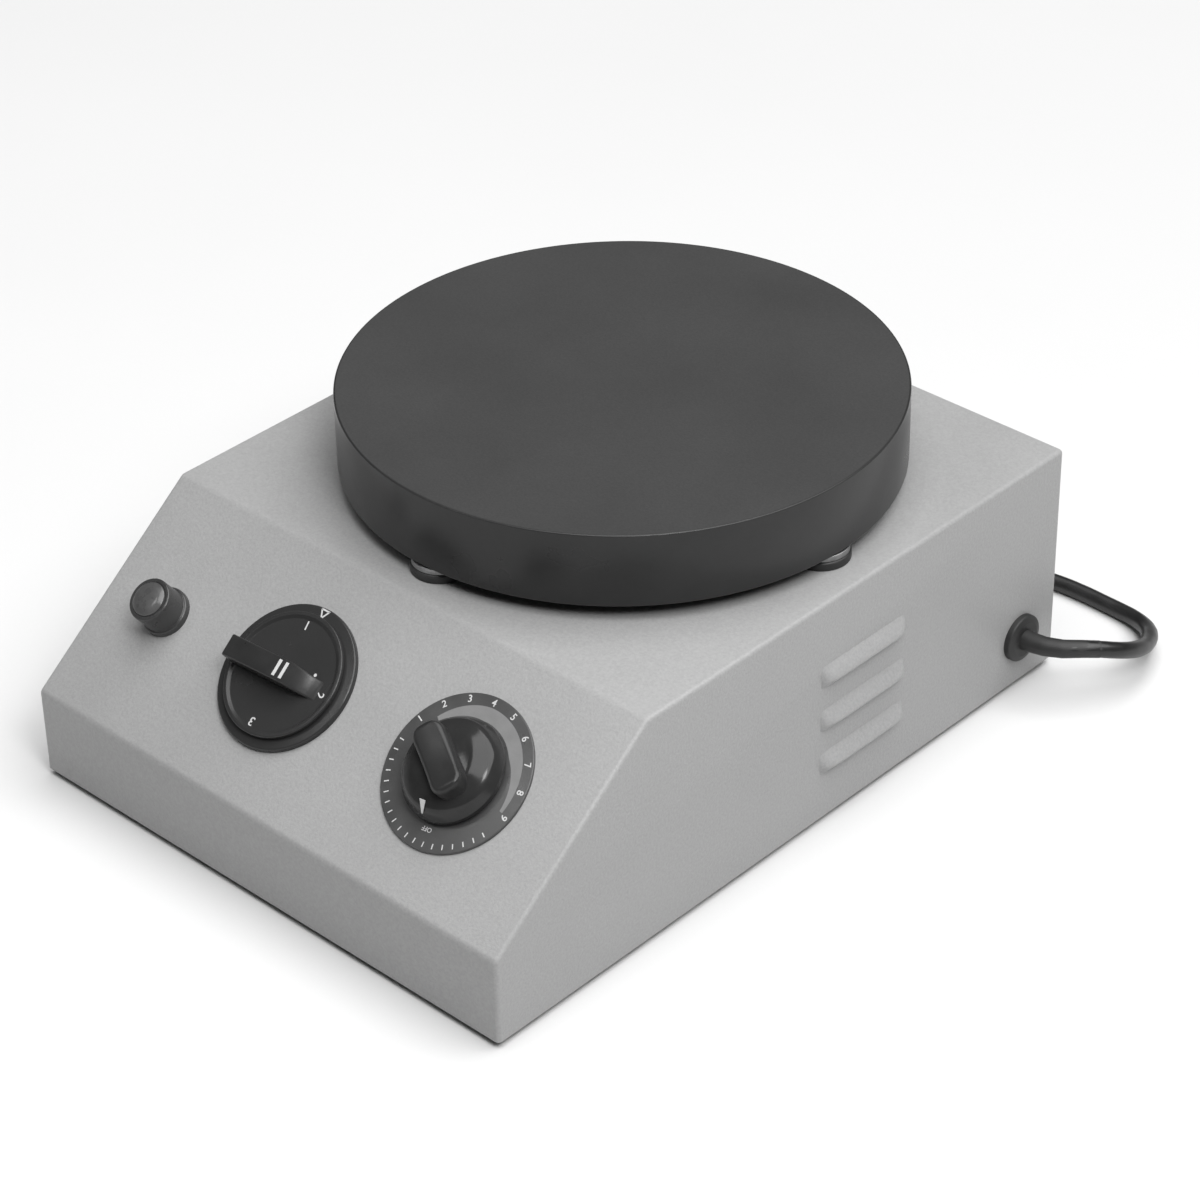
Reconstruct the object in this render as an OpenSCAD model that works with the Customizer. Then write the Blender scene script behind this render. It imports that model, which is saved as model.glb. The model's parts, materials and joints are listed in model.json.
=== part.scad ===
// Magnetic stirrer with a round heating plate: a sheet cabinet on four feet, a sloped control panel with
// a lamp, a heat control and a speed control, and a motor that spins two magnets under the plate.
// Millimetres. +Z is up, +X is to the operator's right, the operator stands at -Y.
// The origin is on the floor, under the middle of the cabinet.

/* [Cabinet] */
// Width of the cabinet
body_w = 222; // [220:1:236]
// Depth of the cabinet
body_d = 289; // [287:1:300]
// Height of the cabinet shell
body_h = 88.5; // [88:0.5:90]
// Height of the upright front lip
lip_h = 33; // [31:0.5:34]
// Horizontal run of the sloped control panel
slope_run = 72; // [71:0.5:74]
// Thickness of the cabinet sheet
sheet_t = 1.2; // [1:0.1:1.4]
// Gap between the floor and the lower edge of the cabinet
foot_gap = 3; // [2.5:0.5:4]

/* [Heated top] */
// Diameter of the heating plate
plate_d = 200; // [196:1:204]
// Thickness of the heating plate at its rim
plate_h = 28; // [27:0.5:30]
// Gap between the cabinet top and the plate
plate_gap = 5.5; // [5:0.5:7]
// Distance of the plate's middle behind the cabinet's middle
plate_y = 36; // [34:0.5:37]
// Rounding of the plate's upper edge, cut as a bevel
plate_edge = 0.6; // [0.4:0.1:1.5]
// Radius of the circle that the four standoffs stand on
standoff_r = 90.5; // [90:0.5:91]

/* [Controls] */
// Position of the lamp across the panel
lamp_x = -81; // [-84:1:-78]
// Position of the heat control across the panel
heat_x = -20.5; // [-24:0.5:-18]
// Position of the speed control across the panel
speed_x = 59.5; // [56:0.5:62]
// Position of the two controls up the panel, from its middle
control_up = 0.8; // [0:0.2:1.6]
// Diameter of the heat knob's skirt
heat_knob_d = 46; // [44:1:48]
// Diameter of the fixed ring around the heat knob
escutcheon_d = 53.5; // [53:0.5:56]
// Diameter of the speed dial plate
dial_d = 56; // [55:1:58]
// Diameter of the speed knob's skirt
speed_knob_d = 37.2; // [36:0.4:39.2]

/* [Stirring drive] */
// Diameter of the motor shaft
shaft_d = 6; // [5.6:0.2:6.4]
// Distance of each magnet from the axis
magnet_r = 30; // [28:1:31]
// Diameter of the magnet carrier
carrier_d = 80; // [78:1:84]

/* [Cord] */
// Diameter of the mains cord
cord_d = 6.2; // [6:0.1:6.4]
// Distance of the cord's way out from the cabinet's middle
cord_y = 124; // [122:1:126]
// Height of the cord's way out
cord_z = 22; // [21:0.5:23]

/* [Hidden] */

$fn = 64;
eps = 0.5;             // overshoot of a cutting tool
lap = 0.01;            // overlap that joins two shapes of one piece
run_gap = 0.05;        // radial clearance of a shaft in its bearing
bolt_gap = 0.25;       // radial clearance of a bolt in a plain hole
thread_gap = 0.02;     // radial clearance of a screw in its nut or its tapped hole

half_w = body_w / 2;
half_d = body_d / 2;
lip_z = foot_gap + lip_h;
top_z = foot_gap + body_h;
slope_a = atan2(top_z - lip_z, slope_run);

// Heights of the base plate
base_z = 7;
base_t = 1.2;
base_top = base_z + base_t;

// Feet and base screws
foot_x = half_w - 23;
foot_y = half_d - 26.5;
foot_r = 9;
foot_bore_r = 4.6;
foot_recess = 3.5;
m4_r = 2;
m4_head_r = 3.6;
m4_head_h = 2.2;
m4_nut_af = 7;
m4_nut_h = 3.2;
tab_w = 16;
tab_l = 15;
tab_h = 14;
tab_t = 1.5;
tab_hole = 9;
tab_side_y = 75;
vent_x = 80;
bracket_foot = [56, 22];

// Heated top
plate_z = top_z + plate_gap;
plate_top_z = plate_z + plate_h;
plate_skin = 8;
plate_under_z = plate_top_z - plate_skin;
plate_r = plate_d / 2;
rim_t = 6;
boss_r = 8;
m6_r = 3;
m6_af = 10;
m6_head_h = 4;
collar_r = 10.5;
collar_h = 3.3;
collar_neck_r = 6;
element_r = 62;
element_tube_r = 4;
element_end_a = 10;
sleeve_r = 4.6;
shield_r = 82;
shield_z = plate_z + 4.5;
shield_t = 1.5;
insulation_t = 6;
shield_screw_r = 2.5;
terminal_r = 1.6;
terminal_z = top_z - 7.5;
bush_r = 4.5;

// Louvres on the side walls
louvre_y = 13;
louvre_l = 44;
louvre_h = 8.5;
louvre_out = 3;
louvre_zs = [22, 40, 58];

// Stirring drive, from the base plate upwards
shaft_r = shaft_d / 2;
bracket_z = 22;
bracket_t = 2;
bracket_w = 96;
bracket_l = 68;
bracket_foot_l = 18;
bush_h = 4;
bell_z = bracket_z + bracket_t + bush_h;
bell_flange = 3;
bell_r = 42;
bell_depth = 10;
stator_z = bell_z + bell_depth;
stator_h = 18;
stator_r = 31;
stator_bore = 17;
slot_w = 4;
slot_r = 25;
winding_h = 6.2;
upper_bell_z = stator_z + stator_h;
motor_bolt_r = 36.8;
hub_r = 8;
bearing_r = 5;
fan_z = 71;
fan_h = 6;
fan_r = 31;
fan_blades = 7;
shaft_end_z = bell_z + 1.9;
carrier_z = 79;
carrier_h = 4;
magnet_d = 16;
magnet_h = 11;
magnet_seat = 1;
opening_r = 55;

// Controls, measured from the outer face of the panel
lamp_thread_r = 6;
lamp_tube_r = 8;
lamp_top = 12;
lamp_bore_r = 3.1;
switch_screw_x = 14;
control_shaft_r = 3;
control_shaft_low = -13.5;
escutcheon_h = 2;
heat_skirt_z = 2.4;
heat_face_z = 3.8;
heat_rim_z = 4.4;
heat_bar_w = 8;
heat_bar_a = 2.5;
heat_bar_top = 12;
dial_t = 1;
bushing_r = 5;
speed_skirt_z = 2;
speed_dome_z = 12;
grip_a = -33;
grip_l = 28;
grip_w = 11.5;
grip_top = 16.5;

// Mains side
cord_r = cord_d / 2;
grommet_t = 3;
grommet_r = 9;
grommet_barrel_r = 6.4;
wall_hole_r = 6.5;
block_pos = [46, 124];
block_size = [32, 28, 22];
block_screw_x = 12;
block_ways = [-9, 0, 9];
clamp_x = 74;
clamp_l = 8;
clamp_w = 26;
clamp_base_screw_y = 9;
clamp_bar_screw_y = 6;
clamp_bar_h = 5;
earth_pos = [84, 92];

// Free cord: from the grommet, down to the floor and along behind the cabinet to the coil
coil_pos = [-58, 197.5];
coil_mean_r = 34.2;
coil_half_w = 12.6;
coil_low = 0.8;
coil_h = 2 * cord_d;
tie_t = 0.8;
tie_w = 6;
tie_play = 0.6;
mains_route = [
    [114, 124, 22], [116.5, 124, 22], [121.9, 124.8, 22.2], [127.9, 127.5, 22.5], [132.9, 131.8, 22.6],
    [136.9, 137, 21.6], [139.7, 142.6, 19.6], [141, 148.5, 17.1], [140.9, 154.5, 14.4],
    [139.7, 160.5, 11.8], [137.7, 166.4, 9.7], [134.7, 172, 8], [130.7, 176.9, 6.3], [125.5, 180.7, 4.8],
    [119.4, 183.1, 3.9], [112.9, 184.2, 3.3], [106.3, 184.6, 3.1], [96, 184.8, 3.1], [84, 184, 3.1],
    [68, 180.5, 3.1], [50, 175, 3.1], [30, 168.5, 3.1], [10, 162.5, 3.1], [-10, 158, 3.1],
    [-28, 155.2, 3.3], [-44, 154.1, 3.7], [-58, 154, 3.9]
];
plug_route = [
    [-58, 154, 10.1], [-68, 154.4, 10.5], [-78, 156, 11.8], [-88, 158.8, 14.2], [-97, 161.8, 16.8],
    [-106, 164.2, 19], [-113, 165, 20], [-118, 165, 20]
];
plug_pos = plug_route[len(plug_route) - 1];
plug_r = 20;
plug_len = 46;
pin_r = 2.54;
pin_l = 14.9;
pin_at = [-7.4, 9.525];
earth_pin_r = 3.53;
earth_pin_l = 20.6;
earth_pin_up = 14.83;

// ---------------------------------------------------------------- helpers

// Places children on the sloped panel: local Z is its outward normal, local Y runs up the slope
module on_slope(x) {
    translate([x, -half_d + slope_run / 2, (lip_z + top_z) / 2]) rotate([slope_a, 0, 0]) children();
}

// Places children on the axis of each control
module at_heat() {
    on_slope(heat_x) translate([0, control_up, 0]) children();
}

module at_speed() {
    on_slope(speed_x) translate([0, control_up, 0]) children();
}

// Places children on the vertical axis of the plate and the motor
module on_axis(z) {
    translate([0, plate_y, z]) children();
}

// Repeats children at the four corners of a rectangle
module at_corners(x, y) {
    for (sx = [-1, 1], sy = [-1, 1]) translate([sx * x, sy * y, 0]) children();
}

// Repeats children at the four standoffs
module at_standoffs(z) {
    for (a = [0:90:270])
        translate([standoff_r * cos(a), plate_y + standoff_r * sin(a), z]) children();
}

// Repeats children at the two ends of the heating element
module at_element_ends(z) {
    for (s = [-1, 1])
        translate([s * element_r * sin(element_end_a), plate_y + element_r * cos(element_end_a), z])
            children();
}

// Ring with a vertical bore
module ring(r_out, r_in, h) {
    difference() {
        cylinder(h = h, r = r_out);
        translate([0, 0, -eps]) cylinder(h = h + 2 * eps, r = r_in);
    }
}

module hex(across_flats, h) {
    cylinder(h = h, r = across_flats / sqrt(3), $fn = 6);
}

module hex_nut(across_flats, h, bore_r) {
    difference() {
        hex(across_flats, h);
        translate([0, 0, -eps]) cylinder(h = h + 2 * eps, r = bore_r);
    }
}

module m4_nut() {
    hex_nut(m4_nut_af, m4_nut_h, m4_r + thread_gap);
}

// Pan-head screw with its head at the bottom, under z = 0, and its shank pointing up
module screw_up(shank_r, shank_l, head_r, head_h) {
    translate([0, 0, -head_h]) difference() {
        cylinder(h = head_h, r = head_r);
        translate([-head_r * 0.6, -0.5, -eps]) cube([head_r * 1.2, 1, eps + head_h * 0.4]);
    }
    translate([0, 0, -lap]) cylinder(h = shank_l + lap, r = shank_r);
}

// Slot with round ends along X, centred
module slot(length, width, h) {
    cube([length - width, width, h], center = true);
    for (s = [-1, 1])
        translate([s * (length - width) / 2, 0, 0]) cylinder(h = h, r = width / 2, center = true);
}

// Round cutting tool that reaches the same distance above and below z = 0
module punch(r, reach = 5) {
    cylinder(h = 2 * reach, r = r, center = true);
}

// Repeats children on both sides of X = 0, at a distance from it
module at_both(x) {
    for (s = [-1, 1]) translate([s * x, 0, 0]) children();
}

// Extrudes a profile drawn in Y and Z across the width
module across_width(width) {
    translate([-width / 2, 0, 0]) rotate([90, 0, 90]) linear_extrude(width) children();
}

// Direction of a route at point i: along the chord between its neighbours
function heading(route, i) =
    let (step = route[min(i + 1, len(route) - 1)] - route[max(i - 1, 0)]) step / norm(step);

// Ring of points around point i of a route, square to its direction
function route_ring(route, i, r, sides) =
    let (
        ahead = heading(route, i),
        across = cross(ahead, [0, 0, 1]) / norm(cross(ahead, [0, 0, 1])),
        up = cross(across, ahead)
    )
    [for (k = [0:sides - 1]) route[i] + r * (cos(k * 360 / sides) * across + sin(k * 360 / sides) * up)];

// Round tube along a route
module swept_tube(route, r, sides = 12) {
    last = len(route) - 1;
    rings = [for (i = [0:last]) route_ring(route, i, r, sides)];
    walls = [for (i = [0:last - 1], k = [0:sides - 1]) [
        i * sides + k, i * sides + (k + 1) % sides,
        (i + 1) * sides + (k + 1) % sides, (i + 1) * sides + k
    ]];
    start_cap = [for (k = [sides - 1:-1:0]) k];
    end_cap = [for (k = [0:sides - 1]) last * sides + k];
    polyhedron(points = [for (one = rings) each one], faces = concat(walls, [start_cap, end_cap]));
}

// ---------------------------------------------------------------- cabinet

// Side outline of the cabinet in Y and Z, moved in by the wall; reach lowers its open bottom
module side_outline(wall, reach) {
    polygon([
        [-half_d + wall, foot_gap - reach],
        [-half_d + wall, lip_z - wall * tan((90 - slope_a) / 2)],
        [-half_d + slope_run + wall * tan(slope_a / 2), top_z - wall],
        [half_d - wall, top_z - wall],
        [half_d - wall, foot_gap - reach]
    ]);
}

// Sweeps a louvre section, drawn outwards from the side wall, along Y on both walls
module louvre_sweep(margin) {
    for (side = [0, 1], z = louvre_zs)
        mirror([side, 0, 0])
            translate([half_w, louvre_y + louvre_l - margin, z])
                rotate([90, 0, 0]) linear_extrude(louvre_l - 2 * margin) children();
}

module louvre_hoods() {
    louvre_sweep(0) polygon([
        [-sheet_t, louvre_h], [0, louvre_h], [louvre_out, 2.5], [louvre_out, 0], [-sheet_t, 0]
    ]);
}

module louvre_cuts() {
    louvre_sweep(1) polygon([
        [-sheet_t - eps, louvre_h - 2.3], [0.3, louvre_h - 2.3], [louvre_out - 1, 2.2],
        [louvre_out - 1, -eps], [0, -eps], [0, 0], [-sheet_t - eps, 0]
    ]);
}

module cabinet() color([0.67, 0.67, 0.67]) difference() {
    union() {
        across_width(body_w) side_outline(0, 0);
        louvre_hoods();
    }
    across_width(body_w - 2 * sheet_t) side_outline(sheet_t, 1);
    louvre_cuts();
    on_axis(top_z) punch(opening_r);
    at_standoffs(top_z) punch(m6_r + bolt_gap);
    at_element_ends(top_z) punch(bush_r + run_gap);
    on_slope(lamp_x) punch(lamp_thread_r + 0.1);
    at_heat() punch(control_shaft_r + 1);
    at_heat() at_both(switch_screw_x) punch(m4_r + 0.2);
    at_speed() punch(bushing_r + 0.1);
    translate([half_w, cord_y, cord_z]) rotate([0, 90, 0]) punch(wall_hole_r);
}

// Repeats children at the tabs that join the base plate to the walls, local X pointing at the wall
module at_tabs() {
    for (s = [0, 1], y = [-tab_side_y, tab_side_y])
        translate([(1 - 2 * s) * (half_w - sheet_t), y, base_top]) rotate([0, 0, 180 * s]) children();
    for (s = [-1, 1])
        translate([0, s * (half_d - sheet_t), base_top]) rotate([0, 0, 90 * s]) children();
}

// Repeats children at every M4 screw that comes up through the base plate
module at_base_screws() {
    at_tabs() translate([-tab_hole, 0, base_z - base_top]) children();
    translate([0, plate_y, base_z]) at_corners(bracket_foot[0], bracket_foot[1]) children();
    translate([block_pos[0], block_pos[1], base_z]) at_both(block_screw_x) children();
    for (s = [-1, 1]) translate([clamp_x, cord_y + s * clamp_base_screw_y, base_z]) children();
}

module base_plate() color([0.62, 0.62, 0.63]) difference() {
    translate([0, 0, base_z + base_t / 2])
        cube([body_w - 2 * sheet_t - 0.4, body_d - 2 * sheet_t - 0.4, base_t], center = true);
    at_base_screws() punch(m4_r + bolt_gap);
    translate([0, 0, base_z]) at_corners(foot_x, foot_y) punch(m4_r + bolt_gap);
    translate([earth_pos[0], earth_pos[1], base_z]) punch(m4_r + run_gap);
    at_both(vent_x) for (y = [-50:10:50]) translate([0, y, base_z]) slot(24, 4, 6);
}

module base_tabs() color([0.6, 0.6, 0.61]) at_tabs() difference() {
    union() {
        translate([-tab_l, -tab_w / 2, 0]) cube([tab_l, tab_w, tab_t]);
        translate([-tab_t, -tab_w / 2, 0]) cube([tab_t, tab_w, tab_h]);
    }
    translate([-tab_hole, 0, 0]) punch(m4_r + run_gap);
}

module base_screws() color([0.75, 0.75, 0.76]) at_base_screws()
    screw_up(m4_r, 6.6, m4_head_r, m4_head_h);

module rubber_feet() color([0.16, 0.16, 0.16]) at_corners(foot_x, foot_y) difference() {
    cylinder(h = base_z, r1 = foot_r - 0.8, r2 = foot_r);
    translate([0, 0, -eps]) cylinder(h = foot_recess + eps, r = foot_bore_r);
    translate([0, 0, base_z / 2]) punch(m4_r + run_gap);
}

module foot_screws() color([0.75, 0.75, 0.76]) translate([0, 0, foot_recess]) at_corners(foot_x, foot_y)
    screw_up(m4_r, 9, 4, m4_head_h);

module foot_nuts() color([0.7, 0.7, 0.7]) translate([0, 0, base_top])
    at_corners(foot_x, foot_y) m4_nut();

// ---------------------------------------------------------------- heated top

module heating_plate() color([0.31, 0.31, 0.31]) difference() {
    union() {
        on_axis(plate_z) rotate_extrude($fn = 128) polygon([
            [0, plate_h - plate_skin], [plate_r - rim_t, plate_h - plate_skin], [plate_r - rim_t, 0],
            [plate_r - 1, 0], [plate_r, 1], [plate_r, plate_h - plate_edge],
            [plate_r - plate_edge, plate_h], [0, plate_h]
        ]);
        at_standoffs(plate_z) cylinder(h = plate_h - plate_skin + lap, r = boss_r);
        on_axis(shield_z + shield_t)
            cylinder(h = plate_under_z - shield_z - shield_t + lap, r = boss_r - 1);
    }
    at_standoffs(plate_z - eps) cylinder(h = 14 + eps, r = m6_r + run_gap);
    on_axis(shield_z) cylinder(h = 12, r = shield_screw_r + run_gap);
}

// Round tube bent into an open ring, with a sleeve pointing down at each end
module heating_element() color([0.35, 0.33, 0.32]) {
    on_axis(plate_under_z - element_tube_r)
        rotate([0, 0, 90 + element_end_a])
            rotate_extrude(angle = 360 - 2 * element_end_a)
                translate([element_r, 0]) circle(r = element_tube_r);
    at_element_ends(shield_z - 2) cylinder(h = plate_under_z - shield_z + 1.5, r = sleeve_r);
}

module element_terminals() color([0.72, 0.6, 0.35]) at_element_ends(terminal_z)
    cylinder(h = shield_z - 2 - terminal_z, r = terminal_r);

module terminal_bushes() color([0.9, 0.89, 0.86]) at_element_ends(top_z) difference() {
    union() {
        cylinder(h = 2.5, r = bush_r + 1.5);
        translate([0, 0, -bush_r]) cylinder(h = 5, r = bush_r);
    }
    punch(terminal_r + run_gap);
}

module insulation_disc() color([0.85, 0.83, 0.78]) difference() {
    on_axis(shield_z + shield_t) ring(shield_r, boss_r - 0.8, insulation_t);
    at_element_ends(shield_z) cylinder(h = 10, r = sleeve_r + 0.3);
}

module heat_shield() color([0.8, 0.8, 0.81]) difference() {
    on_axis(shield_z) ring(shield_r, shield_screw_r + 0.2, shield_t);
    at_element_ends(shield_z - eps) cylinder(h = 3, r = sleeve_r + 0.3);
}

module shield_screw() color([0.7, 0.7, 0.7]) on_axis(shield_z)
    screw_up(shield_screw_r, 10, 4.4, 2.6);

module standoff_collars() color([0.14, 0.14, 0.14]) at_standoffs(top_z) difference() {
    union() {
        cylinder(h = collar_h, r = collar_r);
        cylinder(h = plate_gap, r = collar_neck_r);
    }
    punch(m6_r + 0.1, plate_gap + eps);
}

// Light rings that fill the gap between the collars and the plate
module standoff_washers() color([0.75, 0.75, 0.74]) at_standoffs(top_z + collar_h)
    ring(collar_r - 0.5, collar_neck_r + thread_gap, plate_gap - collar_h);

module plate_bolts() color([0.7, 0.7, 0.7]) at_standoffs(top_z - sheet_t) {
    translate([0, 0, -m6_head_h]) hex(m6_af, m6_head_h);
    translate([0, 0, -lap]) cylinder(h = sheet_t + plate_gap + 12, r = m6_r);
}

// ---------------------------------------------------------------- stirring drive

module motor_bracket() color([0.66, 0.66, 0.68]) on_axis(0) difference() {
    union() {
        translate([-bracket_w / 2, -bracket_l / 2, bracket_z]) cube([bracket_w, bracket_l, bracket_t]);
        for (s = [0, 1]) mirror([s, 0, 0])
            translate([bracket_w / 2 - bracket_t, -bracket_l / 2, base_top]) {
                cube([bracket_t, bracket_l, bracket_z - base_top + eps]);
                cube([bracket_foot_l, bracket_l, bracket_t]);
            }
    }
    translate([0, 0, base_top]) at_corners(bracket_foot[0], bracket_foot[1]) punch(m4_r + bolt_gap);
    translate([0, 0, bracket_z]) around_motor_bolts() punch(m4_r + bolt_gap);
    translate([0, 0, bracket_z]) punch(12);
}

module bracket_nuts() color([0.7, 0.7, 0.7]) on_axis(base_top + bracket_t)
    at_corners(bracket_foot[0], bracket_foot[1]) m4_nut();

// Repeats children around the axis, at the four bolts that hold the motor together
module around_motor_bolts() {
    for (a = [45:90:315]) rotate([0, 0, a]) translate([motor_bolt_r, 0, 0]) children();
}

module at_motor_bolts(z) {
    on_axis(z) around_motor_bolts() children();
}

module motor_bushes() color([0.2, 0.2, 0.2]) at_motor_bolts(bracket_z + bracket_t)
    ring(5, m4_r + 0.1, bush_h);

module motor_stator() color([0.45, 0.45, 0.47]) on_axis(stator_z) difference() {
    ring(stator_r, stator_bore, stator_h);
    for (a = [0:45:315]) rotate([0, 0, a])
        translate([0, -slot_w / 2, -eps]) cube([slot_r, slot_w, stator_h + 2 * eps]);
}

module motor_windings() color([0.72, 0.42, 0.2]) on_axis(stator_z) {
    for (z = [-winding_h, stator_h]) translate([0, 0, z]) ring(slot_r + 2, stator_bore + 1, winding_h);
    for (a = [0:45:315]) rotate([0, 0, a])
        translate([stator_bore + 1.2, 0.2 - slot_w / 2, -1])
            cube([slot_r - stator_bore - 1.4, slot_w - 0.4, stator_h + 2]);
}

// Round end bell with a flange, a short wall and a hub, drawn with its flange at the bottom
module end_bell() {
    difference() {
        union() {
            cylinder(h = bell_flange, r = bell_r);
            ring(stator_r, stator_r - 2, bell_depth);
            cylinder(h = bell_depth, r = hub_r);
        }
        translate([0, 0, -eps]) cylinder(h = bell_depth + 2 * eps, r = bearing_r);
        around_motor_bolts() punch(m4_r + 0.1);
        for (a = [0:45:315]) rotate([0, 0, a]) translate([22, 0, 0]) punch(4);
    }
}

module motor_end_bells() color([0.72, 0.72, 0.73]) {
    on_axis(bell_z) end_bell();
    on_axis(upper_bell_z + bell_depth) mirror([0, 0, 1]) end_bell();
}

module motor_bearings() color([0.7, 0.55, 0.3]) {
    on_axis(bell_z) difference() {
        cylinder(h = bell_depth, r = bearing_r);
        translate([0, 0, 1.5]) cylinder(h = bell_depth, r = shaft_r + run_gap);
    }
    on_axis(upper_bell_z) ring(bearing_r, shaft_r + run_gap, bell_depth);
}

module motor_bolts() color([0.7, 0.7, 0.7]) at_motor_bolts(bracket_z) {
    translate([0, 0, -3]) hex(m4_nut_af, 3);
    translate([0, 0, -lap]) cylinder(h = upper_bell_z + bell_depth + 4 - bracket_z, r = m4_r);
}

module motor_nuts() color([0.7, 0.7, 0.7]) at_motor_bolts(upper_bell_z + bell_depth)
    m4_nut();

module rotor_core() color([0.5, 0.5, 0.52]) on_axis(stator_z + 1)
    ring(stator_bore - 0.5, shaft_r, stator_h - 2);

module motor_shaft() color([0.78, 0.78, 0.8]) on_axis(shaft_end_z) difference() {
    cylinder(h = carrier_z + carrier_h - shaft_end_z, r = shaft_r);
    translate([0, 0, carrier_z + carrier_h - shaft_end_z - 10]) cylinder(h = 11, r = 1.5 + run_gap);
}

module cooling_fan() color([0.25, 0.25, 0.25]) on_axis(fan_z) difference() {
    union() {
        cylinder(h = fan_h, r = hub_r);
        for (k = [0:fan_blades - 1]) rotate([0, 0, k * 360 / fan_blades])
            translate([6, 0, fan_h / 2]) rotate([35, 0, 0])
                translate([0, -3.2, -0.6]) cube([fan_r - 6, 6.4, 1.2]);
    }
    punch(shaft_r, fan_h + eps);
}

module magnet_carrier() color([0.7, 0.7, 0.71]) on_axis(carrier_z) difference() {
    union() {
        cylinder(h = carrier_h, r = carrier_d / 2);
        translate([0, 0, fan_z + fan_h - carrier_z]) cylinder(h = 3, r = hub_r);
    }
    punch(shaft_r);
    at_both(magnet_r) translate([0, 0, carrier_h - magnet_seat]) cylinder(h = 3, r = magnet_d / 2);
}

module stir_magnets() color([0.55, 0.55, 0.57]) on_axis(carrier_z + carrier_h - magnet_seat)
    at_both(magnet_r) cylinder(h = magnet_h, r = magnet_d / 2);

module carrier_screw() color([0.72, 0.72, 0.72]) on_axis(carrier_z + carrier_h)
    mirror([0, 0, 1]) screw_up(1.5, 8, 4.2, 2.4);

// ---------------------------------------------------------------- lamp

module lamp_bezel() color([0.12, 0.12, 0.12]) on_slope(lamp_x) difference() {
    union() {
        translate([0, 0, -22]) cylinder(h = 24, r = lamp_thread_r);
        cylinder(h = 2.5, r = lamp_tube_r + 1);
        cylinder(h = lamp_top, r = lamp_tube_r);
    }
    translate([0, 0, 3]) cylinder(h = 10, r = lamp_tube_r - 1 + run_gap);
    translate([0, 0, -20]) cylinder(h = 24, r = lamp_bore_r);
}

module lamp_lens() color([0.36, 0.36, 0.36]) on_slope(lamp_x) difference() {
    union() {
        translate([0, 0, 3]) cylinder(h = lamp_top - 3, r = lamp_tube_r - 1);
        intersection() {
            translate([0, 0, lamp_top - 13.4]) sphere(r = 15.1);
            translate([0, 0, lamp_top - 1]) cylinder(h = 4, r = lamp_tube_r - 1);
        }
    }
    translate([0, 0, 2]) cylinder(h = 6, r = 4.5);
}

module lamp_bulb() color([0.9, 0.6, 0.35]) on_slope(lamp_x) {
    translate([0, 0, -20]) cylinder(h = 24, r = lamp_bore_r - run_gap);
    translate([0, 0, 4]) sphere(r = 3);
}

module lamp_nut() color([0.7, 0.7, 0.7]) on_slope(lamp_x) translate([0, 0, -sheet_t - 3])
    hex_nut(16, 3, lamp_thread_r + thread_gap);

// ---------------------------------------------------------------- heat control

module heat_escutcheon() color([0.2, 0.2, 0.2]) at_heat() difference() {
    rotate_extrude() polygon([
        [4, 0], [escutcheon_d / 2, 0], [escutcheon_d / 2, escutcheon_h - 0.7],
        [escutcheon_d / 2 - 0.7, escutcheon_h], [4, escutcheon_h]
    ]);
    at_both(switch_screw_x) punch(3.9);
}

// Round skirt with a raised rim, and a finger bar that is tall at one end and ramps down at the other
module heat_knob() color([0.24, 0.24, 0.24]) at_heat() difference() {
    union() {
        rotate_extrude() polygon([
            [0, heat_skirt_z], [heat_knob_d / 2 - 0.6, heat_skirt_z], [heat_knob_d / 2, heat_skirt_z + 0.6],
            [heat_knob_d / 2, heat_rim_z - 0.4], [heat_knob_d / 2 - 0.5, heat_rim_z],
            [heat_knob_d / 2 - 2, heat_rim_z], [heat_knob_d / 2 - 3, heat_face_z], [0, heat_face_z]
        ]);
        rotate([0, 0, heat_bar_a]) translate([0, heat_bar_w / 2, 0])
            rotate([90, 0, 0]) linear_extrude(heat_bar_w) polygon([
                [-21, 3.5], [-21, heat_bar_top - 1], [-20, heat_bar_top], [7.5, heat_bar_top],
                [17, heat_face_z + 0.3], [17, 3.5]
            ]);
    }
    cylinder(h = 9.5, r = control_shaft_r);
}

module heat_switch_body() color([0.83, 0.8, 0.72]) at_heat() difference() {
    union() {
        translate([-18, -15, -sheet_t - 24]) cube([36, 30, 24]);
        for (x = [-12, -4, 4, 12]) translate([x - 0.4, -3.15, -sheet_t - 33]) cube([0.8, 6.3, 10]);
    }
    translate([0, 0, -14]) cylinder(h = 15, r = control_shaft_r + run_gap);
    at_both(switch_screw_x) translate([0, 0, -11]) cylinder(h = 11, r = m4_r + thread_gap);
}

module heat_switch_shaft() color([0.78, 0.78, 0.8]) at_heat()
    translate([0, 0, control_shaft_low]) cylinder(h = 23, r = control_shaft_r);

module heat_switch_screws() color([0.75, 0.75, 0.76]) at_heat()
    at_both(switch_screw_x) mirror([0, 0, 1]) screw_up(m4_r, 9, 3.5, 1.6);

// ---------------------------------------------------------------- speed control

module speed_dial_plate() color([0.15, 0.15, 0.15]) at_speed()
    ring(dial_d / 2, bushing_r + 0.1, dial_t);

// Domed knob with a tall grip bar across it; it turns on the regulator shaft
module speed_knob() color([0.15, 0.15, 0.15]) at_speed() difference() {
    union() {
        rotate_extrude() polygon([
            [0, speed_skirt_z], [speed_knob_d / 2, speed_skirt_z], [speed_knob_d / 2, 4], [17.4, 5.6],
            [16, 8], [14.2, 9.4], [12, 10.5], [8, 11.4], [4, 11.9], [0, speed_dome_z]
        ]);
        rotate([0, 0, grip_a]) translate([0, 0, (grip_top + 4) / 2]) slot(grip_l, grip_w, grip_top - 4);
    }
    translate([0, 0, 1]) cylinder(h = 6, r = 10);
    cylinder(h = 13.5, r = control_shaft_r);
}

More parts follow.
